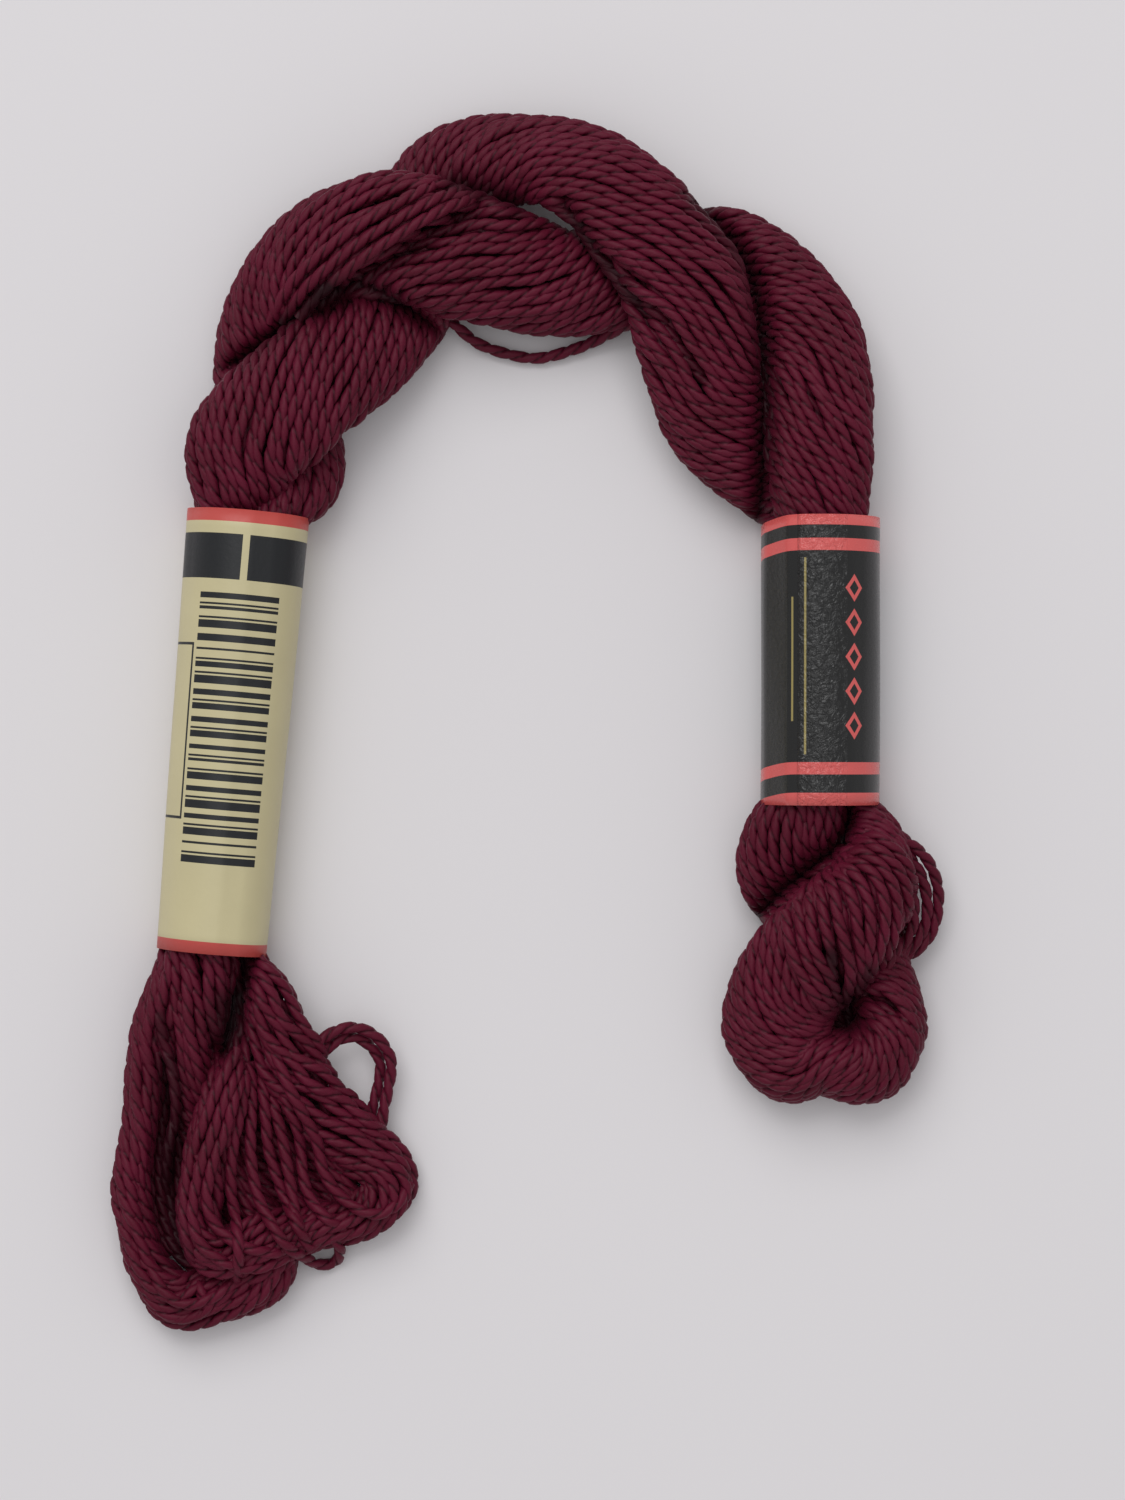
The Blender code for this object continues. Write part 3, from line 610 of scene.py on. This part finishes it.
def mark_painted_shade(mesh, paths, corners):
    """Gives each point of the mesh its share of painted shade, which grows in the groove between a
    thread's two strands, and in the creases between the plies.
    """
    points = np.empty(len(mesh.vertices) * 3)
    mesh.vertices.foreach_get("co", points)
    # The end caps of the threads have points of their own, ahead of all the others.
    caps = 2 * corners * len(paths)
    middles = np.repeat(np.concatenate(paths), corners, axis=0)
    away = np.linalg.norm(points.reshape(-1, 3)[caps:] / MM - middles, axis=1)
    groove = np.interp(away / (THREAD / 2), GROOVE_REACH, GROOVE_PAINTED_SHADE)
    # Painted shade: the larger of the groove's and the creases' values.
    shade = np.maximum(groove, near_creases(middles, CREASE_PAINTED_SHADE))
    shade = np.concatenate([np.zeros(caps), shade])
    mesh.attributes.new("shade", "FLOAT", "POINT").data.foreach_set("value", shade)


def thread_curve(name, paths, section, random):
    """A curve with the section swept along each path, turning as the pair of strands does."""
    data = bpy.data.curves.new(name, "CURVE")
    data.dimensions = "3D"
    data.bevel_mode = "OBJECT"
    data.bevel_object = section
    data.use_fill_caps = True
    data.twist_mode = "MINIMUM"
    for path in paths:
        spline = data.splines.new("POLY")
        spline.points.add(len(path) - 1)
        spline.points.foreach_set("co", np.hstack([path * MM, np.ones((len(path), 1))]).ravel())
        start = random.uniform(0, math.tau)
        spline.points.foreach_set("tilt", start - math.tau * run_along(path) / TWIST)
        spline.use_smooth = True
    return add_object(name, data)


def lay_threads(name, paths, section, step, random):
    """One mesh of threads along the paths."""
    paths = [even_path(path, step) for path in paths]
    curve = thread_curve(name, paths, section, random)
    graph = bpy.context.evaluated_depsgraph_get()
    mesh = bpy.data.meshes.new_from_object(curve.evaluated_get(graph))
    bpy.data.objects.remove(curve)
    mark_painted_shade(mesh, paths, len(section.data.splines[0].points))
    return add_object(name, mesh)


def finish_piece(piece, material, node):
    piece.data.materials.clear()
    piece.data.materials.append(material)
    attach(piece, "root")
    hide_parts(node)


# ---------------- shaders


class Graph:
    """Short ways to place and join the nodes of one node tree."""

    def __init__(self, tree):
        self.tree = tree

    def node(self, kind, **inputs):
        made = self.tree.nodes.new(kind)
        return self.fill(made, inputs)

    def fill(self, node, inputs):
        for name, value in inputs.items():
            self.feed(node.inputs[name], value)
        return node

    def feed(self, socket, value):
        if isinstance(value, bpy.types.NodeSocket):
            self.tree.links.new(value, socket)
        else:
            socket.default_value = value

    def math(self, operation, *values):
        made = self.tree.nodes.new("ShaderNodeMath")
        made.operation = operation
        for socket, value in zip(made.inputs, values):
            self.feed(socket, value)
        return made.outputs[0]

    def mix(self, factor, below, above):
        """The colour above laid over the one below. A Mix node's colours are its inputs 6 and 7
        and its output 2.
        """
        made = self.tree.nodes.new("ShaderNodeMix")
        made.data_type = "RGBA"
        self.feed(made.inputs["Factor"], factor)
        self.feed(made.inputs[6], below)
        self.feed(made.inputs[7], above)
        return made.outputs[2]

    def group(self, group, **inputs):
        made = self.tree.nodes.new("ShaderNodeGroup")
        made.node_tree = group
        return self.fill(made, inputs)


def linear(red, green, blue):
    """An sRGB colour of 0 to 255 as a shader colour."""
    parts = [v / 255 for v in (red, green, blue)]
    return (*[p / 12.92 if p <= 0.04045 else ((p + 0.055) / 1.055) ** 2.4 for p in parts], 1.0)


def new_group(name, inputs, outputs):
    group = bpy.data.node_groups.new(name, "ShaderNodeTree")
    for title, kind, default in inputs:
        socket = group.interface.new_socket(title, in_out="INPUT", socket_type=kind)
        socket.default_value = default
    for title, kind in outputs:
        group.interface.new_socket(title, in_out="OUTPUT", socket_type=kind)
    given = group.nodes.new("NodeGroupInput")
    out = group.nodes.new("NodeGroupOutput")
    return group, Graph(group), given, out


RECTANGLE_INPUTS = ("Round", "Along", "From Round", "To Round", "From Along", "To Along")


def rectangle_group():
    """1 inside a printed rectangle, given in millimetres round and along the band."""
    inputs = [(title, "NodeSocketFloat", 0.0) for title in RECTANGLE_INPUTS]
    outputs = [("Mask", "NodeSocketFloat")]
    group, graph, given, out = new_group("printed rectangle", inputs, outputs)
    inside = None
    for value in ("Round", "Along"):
        low, high = given.outputs["From " + value], given.outputs["To " + value]
        above = graph.math("GREATER_THAN", given.outputs[value], low)
        below = graph.math("LESS_THAN", given.outputs[value], high)
        both = graph.math("MULTIPLY", above, below)
        inside = both if inside is None else graph.math("MULTIPLY", inside, both)
    graph.feed(out.inputs["Mask"], inside)
    return group


def paper_group():
    """Slight unevenness of colour and gloss, the paper's own fine relief, and glue wrinkles."""
    inputs = [
        ("Colour", "NodeSocketColor", (1, 1, 1, 1)),
        ("Rough", "NodeSocketFloat", 0.5),
        ("Wrinkled", "NodeSocketFloat", 0.0),
    ]
    outputs = [
        ("Colour", "NodeSocketColor"),
        ("Roughness", "NodeSocketFloat"),
        ("Normal", "NodeSocketVector"),
    ]
    group, graph, given, out = new_group("paper surface", inputs, outputs)
    place = graph.node("ShaderNodeTexCoord").outputs["Object"]
    noise = "ShaderNodeTexNoise"
    broad = graph.node(noise, Vector=place, Scale=160.0, Detail=3.0)
    fine = graph.node(noise, Vector=place, Scale=2600.0, Detail=4.0)
    rough_noise = dict(Scale=1500.0, Detail=3.0, Roughness=0.6, Distortion=0.8)
    wrinkles = graph.node(noise, Vector=place, **rough_noise)
    # The colour varies by 8 % either way.
    shade = graph.math("MULTIPLY_ADD", broad.outputs["Fac"], 0.16, 0.92)
    uneven = graph.node("ShaderNodeVectorMath")
    uneven.operation = "SCALE"
    graph.feed(uneven.inputs[0], given.outputs["Colour"])
    graph.feed(uneven.inputs["Scale"], shade)
    graph.feed(out.inputs["Colour"], uneven.outputs[0])
    # The roughness varies by 0.1 either way, and is a little lower where the paper is wrinkled.
    varied = graph.math("MULTIPLY_ADD", fine.outputs["Fac"], 0.2, -0.1)
    rough = graph.math("ADD", given.outputs["Rough"], varied)
    rough = graph.math("MULTIPLY_ADD", given.outputs["Wrinkled"], -0.08, rough)
    graph.feed(out.inputs["Roughness"], rough)
    # The wrinkles are fifteen times as high as the fine relief.
    relief = graph.math("MULTIPLY", fine.outputs["Fac"], 0.2)
    folds = graph.math("MULTIPLY", wrinkles.outputs["Fac"], given.outputs["Wrinkled"])
    folds = graph.math("MULTIPLY", folds, 3.0)
    height = graph.math("ADD", relief, folds)
    bump = graph.node("ShaderNodeBump", Strength=1.0, Distance=0.0001, Height=height)
    graph.feed(out.inputs["Normal"], bump.outputs["Normal"])
    return group


def new_material(name):
    made = bpy.data.materials.new(name)
    made.use_nodes = True
    shader = made.node_tree.nodes["Principled BSDF"]
    return made, Graph(made.node_tree), shader


def thread_material(name, colour, deep, painted_shade_colour):
    """Mercerised cotton: fine fibres, a soft sheen, uneven dye, and painted shade in grooves and
    creases.
    """
    made, graph, shader = new_material(name)
    place = graph.node("ShaderNodeTexCoord").outputs["Object"]
    noise = "ShaderNodeTexNoise"
    dye = graph.node(noise, Vector=place, Scale=240.0, Detail=2.0)
    fibre = graph.node(noise, Vector=place, Scale=5200.0, Detail=3.0, Roughness=0.7)
    # Dye and fibres move the tone alike between the deep colour and the full one.
    tone = graph.math("MULTIPLY_ADD", fibre.outputs["Fac"], 0.7, -0.2)
    tone = graph.math("MULTIPLY_ADD", dye.outputs["Fac"], 0.7, tone)
    # The shade attribute mixes in painted shade, a darker burgundy, in the grooves and creases.
    shade = graph.node("ShaderNodeAttribute")
    shade.attribute_name = "shade"
    cotton = graph.mix(tone, deep, colour)
    graph.feed(shader.inputs["Base Color"], graph.mix(shade.outputs["Fac"], cotton, painted_shade_colour))
    height = fibre.outputs["Fac"]
    bump = graph.node("ShaderNodeBump", Strength=0.5, Distance=0.00006, Height=height)
    graph.feed(shader.inputs["Normal"], bump.outputs["Normal"])
    shader.inputs["Roughness"].default_value = 0.5
    shader.inputs["Specular IOR Level"].default_value = 0.17
    shader.inputs["Sheen Weight"].default_value = 0.04
    shader.inputs["Sheen Roughness"].default_value = 0.4
    shader.inputs["Sheen Tint"].default_value = (0.9, 0.35, 0.5, 1)
    return made


BURGUNDY = linear(104, 19, 48)
DEEP_BURGUNDY = linear(66, 7, 22)
# The darker burgundy of the painted shade in grooves and creases.
PAINTED_SHADE_BURGUNDY = linear(30, 2, 9)
CORAL = linear(192, 76, 70)
INK = linear(22, 24, 27)
CREAM = linear(197, 187, 147)
GOLD = linear(150, 136, 82)
BLACK = linear(22, 22, 22)
# A lighter grey printed on the black band's facet: a painted reflection.
FACET_REFLECTION_GREY = linear(41, 41, 40)
ROSE = linear(212, 92, 90)
FLOOR = linear(226, 223, 225)

# What is printed on the bands: rectangles, each from and to round the band, measured to the
# right of its top line, and from and to along it, measured from its top rim.
ALL_ROUND = (-40.0, 40.0)
CREAM_STRIPES = ((*ALL_ROUND, -1.0, 1.15), (*ALL_ROUND, 39.05, 42.0))
CREAM_BLOCKS = ((-9.0, 0.0, 2.25, 6.35), (0.65, 9.0, 2.25, 6.35))
CREAM_FRAME = (
    (-4.5, -4.25, 12.2, 28.2),
    (-11.0, -4.25, 12.2, 12.45),
    (-11.0, -4.25, 27.95, 28.2),
)
BLACK_STRIPES = (
    (*ALL_ROUND, -1.0, 0.95),
    (*ALL_ROUND, 2.15, 3.25),
    (*ALL_ROUND, 22.3, 23.4),
    (*ALL_ROUND, 25.05, 28.0),
)
# Where the lighter grey painted reflection lies: the band's flat facet, left of its top line.
BLACK_FACET = ((-7.4, -3.5, -1.0, 28.0),)
GOLD_HAIRLINES = ((-3.05, -2.85, 7.4, 18.6), (-1.75, -1.55, 3.9, 21.6))
GLUED = (-2.36, 2.15, -1.0, 28.0)

# The pattern of bars: how many steps, where they start along the band and how long a step is.
BARS = 20
BARS_FROM = 7.6
BAR_STEP = 1.25
BAR_FIELD = (-3.9, 4.1, BARS_FROM, BARS_FROM + BARS * BAR_STEP)
# As shares of a step: the least width of its first bar and how much wider one gets, and the
# middle and half width of the thin bar, which this share of the steps has.
BAR_LEAST = 0.16
BAR_MORE = 0.46
THIN_MIDDLE = 0.8
THIN_HALF = 0.075
THIN_SHARE = 0.6

# The column of lozenges: how many, where it lies round the band, where it starts along it and
# its step, half a lozenge's size round and along, and the share of it that is hollow.
LOZENGES = 5
LOZENGE_ROUND = 2.9
LOZENGES_FROM = 6.6
LOZENGE_STEP = 3.1
LOZENGE_HALVES = (0.95, 1.25)
LOZENGE_HOLLOW = 0.55


def band_place(graph):
    """Millimetres round the band from its top line, and along it from its top rim."""
    uv = graph.node("ShaderNodeSeparateXYZ", Vector=graph.node("ShaderNodeUVMap").outputs["UV"])
    return uv.outputs["X"], uv.outputs["Y"]


def rectangle_mask(graph, rectangle, place, bounds):
    inputs = dict(zip(RECTANGLE_INPUTS, (*place, *bounds)))
    return graph.group(rectangle, **inputs).outputs["Mask"]


def printed(graph, rectangle, place, ground, layers):
    """Lays rectangles of ink over the ground: each layer is a colour and its rectangles."""
    colour = ground
    for ink, rectangles in layers:
        for bounds in rectangles:
            mask = rectangle_mask(graph, rectangle, place, bounds)
            colour = graph.mix(mask, colour, ink)
    return colour


def bars_mask(graph, rectangle, place):
    """A bar of uneven width in each step along the band, and a thin one after it in some steps.
    The widths follow a noise of their own.
    """
    step = graph.math("DIVIDE", graph.math("SUBTRACT", place[1], BARS_FROM), BAR_STEP)
    uneven = graph.node("ShaderNodeTexWhiteNoise")
    uneven.noise_dimensions = "1D"
    graph.feed(uneven.inputs["W"], graph.math("FLOOR", step))
    value = uneven.outputs["Value"]
    within = graph.math("FRACT", step)
    bars = graph.math("LESS_THAN", within, graph.math("MULTIPLY_ADD", value, BAR_MORE, BAR_LEAST))
    aside = graph.math("ABSOLUTE", graph.math("SUBTRACT", within, THIN_MIDDLE))
    thin = graph.math("LESS_THAN", aside, THIN_HALF)
    thin = graph.math("MULTIPLY", thin, graph.math("LESS_THAN", value, THIN_SHARE))
    bars = graph.math("MAXIMUM", bars, thin)
    return graph.math("MULTIPLY", bars, rectangle_mask(graph, rectangle, place, BAR_FIELD))


def lay_lozenges(graph, place, colour):
    """A column of small hollow lozenges over the colour."""
    for i in range(LOZENGES):
        middle = LOZENGES_FROM + LOZENGE_STEP * i
        aside = graph.math("ABSOLUTE", graph.math("SUBTRACT", place[0], LOZENGE_ROUND))
        ahead = graph.math("ABSOLUTE", graph.math("SUBTRACT", place[1], middle))
        aside = graph.math("DIVIDE", aside, LOZENGE_HALVES[0])
        ahead = graph.math("DIVIDE", ahead, LOZENGE_HALVES[1])
        reach = graph.math("ADD", aside, ahead)
        colour = graph.mix(graph.math("LESS_THAN", reach, 1.0), colour, ROSE)
        colour = graph.mix(graph.math("LESS_THAN", reach, LOZENGE_HOLLOW), colour, BLACK)
    return colour


def cover_with_paper(graph, shader, surface, specular, **inputs):
    """Joins the paper's surface to the material's own shader."""
    paper = graph.group(surface, **inputs)
    graph.feed(shader.inputs["Base Color"], paper.outputs["Colour"])
    graph.feed(shader.inputs["Roughness"], paper.outputs["Roughness"])
    graph.feed(shader.inputs["Normal"], paper.outputs["Normal"])
    shader.inputs["Specular IOR Level"].default_value = specular


def cream_material(rectangle, surface):
    made, graph, shader = new_material("cream printed paper")
    place = band_place(graph)
    layers = [(CORAL, CREAM_STRIPES), (INK, CREAM_BLOCKS), (INK, CREAM_FRAME)]
    colour = printed(graph, rectangle, place, CREAM, layers)
    colour = graph.mix(bars_mask(graph, rectangle, place), colour, INK)
    cover_with_paper(graph, shader, surface, 0.45, Colour=colour, Rough=0.42)
    return made


def black_material(rectangle, surface):
    made, graph, shader = new_material("black coated paper")
    place = band_place(graph)
    # The facet gets a lighter grey, a painted reflection, under the rose stripes and gold hairlines.
    layers = [(FACET_REFLECTION_GREY, BLACK_FACET), (ROSE, BLACK_STRIPES), (GOLD, GOLD_HAIRLINES)]
    colour = printed(graph, rectangle, place, BLACK, layers)
    colour = lay_lozenges(graph, place, colour)
    # The paper is wrinkled where it is glued down over its own inner end.
    glued = rectangle_mask(graph, rectangle, place, GLUED)
    cover_with_paper(graph, shader, surface, 0.5, Colour=colour, Rough=0.26, Wrinkled=glued)
    return made


# ---------------- bands


def band_section(angle, wide, high, facet):
    """A point of the band's oval, sideways and upward of its middle, on the chord over its facet."""
    low, top = (math.radians(end) for end in facet)
    if not low < angle % math.tau < top:
        return wide * math.cos(angle), high * math.sin(angle)
    share = (angle % math.tau - low) / (top - low)
    x = wide * (math.cos(low) * (1 - share) + math.cos(top) * share)
    z = high * (math.sin(low) * (1 - share) + math.sin(top) * share)
    return x, z


def lowered_by(band, angle):
    """How much lower the band's top rim lies at an angle: the paper is wound slightly askew."""
    outer_end = math.radians(band["ends"][1] - 360)
    share = (angle - outer_end) / math.radians(ASKEW_ROUND)
    return band["lowered"] * math.sin(math.pi * share) ** 2 if 0 < share < 1 else 0.0


def paper_place(band, point):
    """The angle round the band, and the share of the way down it, of a point of the flat grid."""
    begin, end = (math.radians(angle) for angle in band["ends"])
    return begin + (end - begin) * (point.x + 0.5), 0.5 - point.y


def measure_paper(mesh, band, length):
    """Writes to the UV map how far each corner lies round from the band's top line, growing to
    the right, and along the band, in millimetres.
    """
    uv = mesh.loops.layers.uv.new("UVMap")
    for face in mesh.faces:
        # The whole turns that bring this face within half a turn of the top line.
        middle = paper_place(band, face.calc_center_median())[0]
        turns = math.floor(0.75 - middle / math.tau)
        for loop in face.loops:
            angle, share = paper_place(band, loop.vert.co)
            from_top = math.pi / 2 - angle - turns * math.tau
            along = share * length - lowered_by(band, angle) * share
            loop[uv].uv = (from_top * band["top_half"][0], along)


def paper_waves(random):
    """The paper's soft lumps: how many round it, how steep along it, and where they start."""
    return [
        (random.integers(*LUMPS_ROUND), random.uniform(*LUMPS_ALONG), random.uniform(0, math.tau))
        for _ in range(LUMP_WAVES)
    ]


def wrap_paper(mesh, band, random):
    """Bends the flat grid into a strip wound round the hank, pressed flat underneath."""
    top, bottom = Vector((*band["top"], 0)), Vector((*band["bottom"], 0))
    axis = (bottom - top).normalized()
    length = (bottom - top).length
    side = Vector((-axis.y, axis.x, 0))
    begin = math.radians(band["ends"][0])
    waves = paper_waves(random)
    measure_paper(mesh, band, length)
    for vert in mesh.verts:
        angle, share = paper_place(band, vert.co)
        halves = zip(band["top_half"], band["bottom_half"])
        wide, high = (a * (1 - share) + b * share for a, b in halves)
        climbed = min(max((angle - begin - math.tau) / CLIMB + 1, 0), 1)
        over = PAPER * OVERLAP_RISE * climbed
        lump = sum(math.sin(k * angle + w * share * length + phase) for k, w, phase in waves)
        grow = over + lump * LUMP - PAPER - SNUG
        x, z = band_section(angle, wide + grow, high + grow, band["facet"])
        dip = (lowered_by(band, angle) + RIM_DIP * (1 - math.sin(angle))) * (1 - share)
        point = top + axis * (length * share + dip) + side * x
        vert.co = (point.x * MM, point.y * MM, max(z + high - PRESSED, PAPER) * MM)


def paper_band(name, band, random):
    """A strip of paper wrapped round the hank, its outer end lying over the inner one."""
    mesh = bmesh.new()
    bmesh.ops.create_grid(mesh, x_segments=PAPER_ROUND, y_segments=PAPER_ALONG, size=0.5)
    wrap_paper(mesh, band, random)
    mesh.normal_update()
    # The paper's faces point outwards, so its lowest one points down.
    lowest = min(mesh.faces, key=lambda face: face.calc_center_median().z)
    if lowest.normal.z > 0:
        bmesh.ops.reverse_faces(mesh, faces=mesh.faces)
    data = bpy.data.meshes.new(name)
    mesh.to_mesh(data)
    mesh.free()
    data.shade_smooth()
    made = add_object(name, data)
    wall = made.modifiers.new("paper", "SOLIDIFY")
    wall.thickness = PAPER * MM
    wall.offset = 1.0
    return made


# ---------------- making it


def hank_bundle(rows_of, outer, inner, loose=0.12, uneven=0.25, pitches=EVEN_PITCHES):
    """A bundle of threads: the rows of its parts, how many outer and inner threads each part
    has, how far they stand in and out, how unevenly they are spaced, and their pitches.
    """
    threads = dict(rows_of=rows_of, outer=outer, inner=inner)
    return dict(threads, loose=loose, uneven=uneven, pitches=pitches)


def hank_bundles():
    return {
        "ply_a": hank_bundle([PLY_A], 22, 14, pitches=PLY_A_PITCHES),
        "ply_b": hank_bundle([PLY_B], 22, 14),
        "right_fold": hank_bundle([RIGHT_FOLD], 22, 14, pitches=RIGHT_FOLD_PITCHES),
        "left_loop": hank_bundle([LEFT_LOOP], 15, 8, loose=0.2, uneven=0.5),
        "front_loop": hank_bundle([FRONT_LOOP], 12, 6, loose=0.2, uneven=0.5),
        "middle": hank_bundle(MIDDLE_THREADS, 7, 2, loose=0.2, uneven=0.4),
        "bed": hank_bundle(BED_THREADS, 15, 0, loose=0.05, uneven=0.2),
    }


def make_hank():
    random = np.random.default_rng(HANK_SEED)
    height = surface_height("skein")
    cotton = thread_material("burgundy pearl cotton", BURGUNDY, DEEP_BURGUNDY, PAINTED_SHADE_BURGUNDY)
    fine = outline_curve("pair of strands", pair_section((-100, -50, 0, 50, 100)))
    coarse = outline_curve("pair of strands within", pair_section((-65, 0, 65)))
    for name, bundle in hank_bundles().items():
        outer, inner = [], []
        for rows in bundle["rows_of"]:
            outer.extend(ring_of_threads(bundle, rows, bundle["outer"], random, OUTER_DEPTH))
            inner.extend(ring_of_threads(bundle, rows, bundle["inner"], random, INNER_DEPTH))
        layers = (
            ("threads_" + name, outer, fine, STEP),
            ("threads_" + name + "_within", inner, coarse, STEP_WITHIN),
        )
        for piece_name, paths, section, step in layers:
            if paths:
                piece = lay_threads(piece_name, paths, section, step, random)
                finish_piece(piece, cotton, "skein")
    singles = [smooth_rows(points, STEP) for points in (*STRAYS, *DEEP_THREADS)]
    resting = (*LOOSE_THREADS, *FOLD_THREADS, *EDGE_THREADS)
    singles += [lie_over(points, height) for points in resting]
    piece = lay_threads("threads_single", singles, fine, STEP, random)
    finish_piece(piece, cotton, "skein")
    for section in (fine, coarse):
        bpy.data.objects.remove(section)


def make_bands():
    random = np.random.default_rng(PAPER_SEED)
    rectangle, surface = rectangle_group(), paper_group()
    cream = cream_material(rectangle, surface)
    black = black_material(rectangle, surface)
    for colour, material in (("cream", cream), ("black", black)):
        piece = paper_band(colour + "_band", BANDS[colour], random)
        finish_piece(piece, material, BANDS[colour]["node"])


def make_floor():
    mesh = bmesh.new()
    bmesh.ops.create_grid(mesh, x_segments=1, y_segments=1, size=1.5)
    data = bpy.data.meshes.new("pale floor")
    mesh.to_mesh(data)
    mesh.free()
    floor = add_object("pale_floor", data)
    made, _, shader = new_material("pale floor")
    shader.inputs["Base Color"].default_value = FLOOR
    shader.inputs["Roughness"].default_value = 0.7
    shader.inputs["Specular IOR Level"].default_value = 0.2
    data.materials.append(made)


def area_light(name, place, size, power):
    """A square light that shines at the middle of the skein."""
    data = bpy.data.lights.new(name, "AREA")
    data.size = size
    data.energy = power
    light = add_object(name, data)
    light.location = place
    light.rotation_euler = (-Vector(place)).to_track_quat("-Z", "Y").to_euler()


def make_light():
    world = bpy.data.worlds.new("soft room")
    world.use_nodes = True
    room = world.node_tree.nodes["Background"]
    room.inputs["Color"].default_value = (0.872, 0.87, 0.882, 1)
    room.inputs["Strength"].default_value = 0.575
    bpy.context.scene.world = world
    area_light("window", (-0.3, 0.9, 1.1), size=1.0, power=8.6)
    area_light("ceiling", (-0.05, 0.1, 0.9), size=0.8, power=1.25)


def make_camera():
    """A camera that looks straight down, as the one in the photo does."""
    data = bpy.data.cameras.new("camera")
    data.lens = 105.6
    data.sensor_width = 36
    camera = add_object("camera", data)
    camera.location = (0.00307, -0.00261, 0.405)
    bpy.context.scene.camera = camera


make_camera()
make_hank()
make_bands()
make_floor()
make_light()
bpy.context.scene.view_settings.view_transform = "Standard"
bpy.context.view_layer.update()
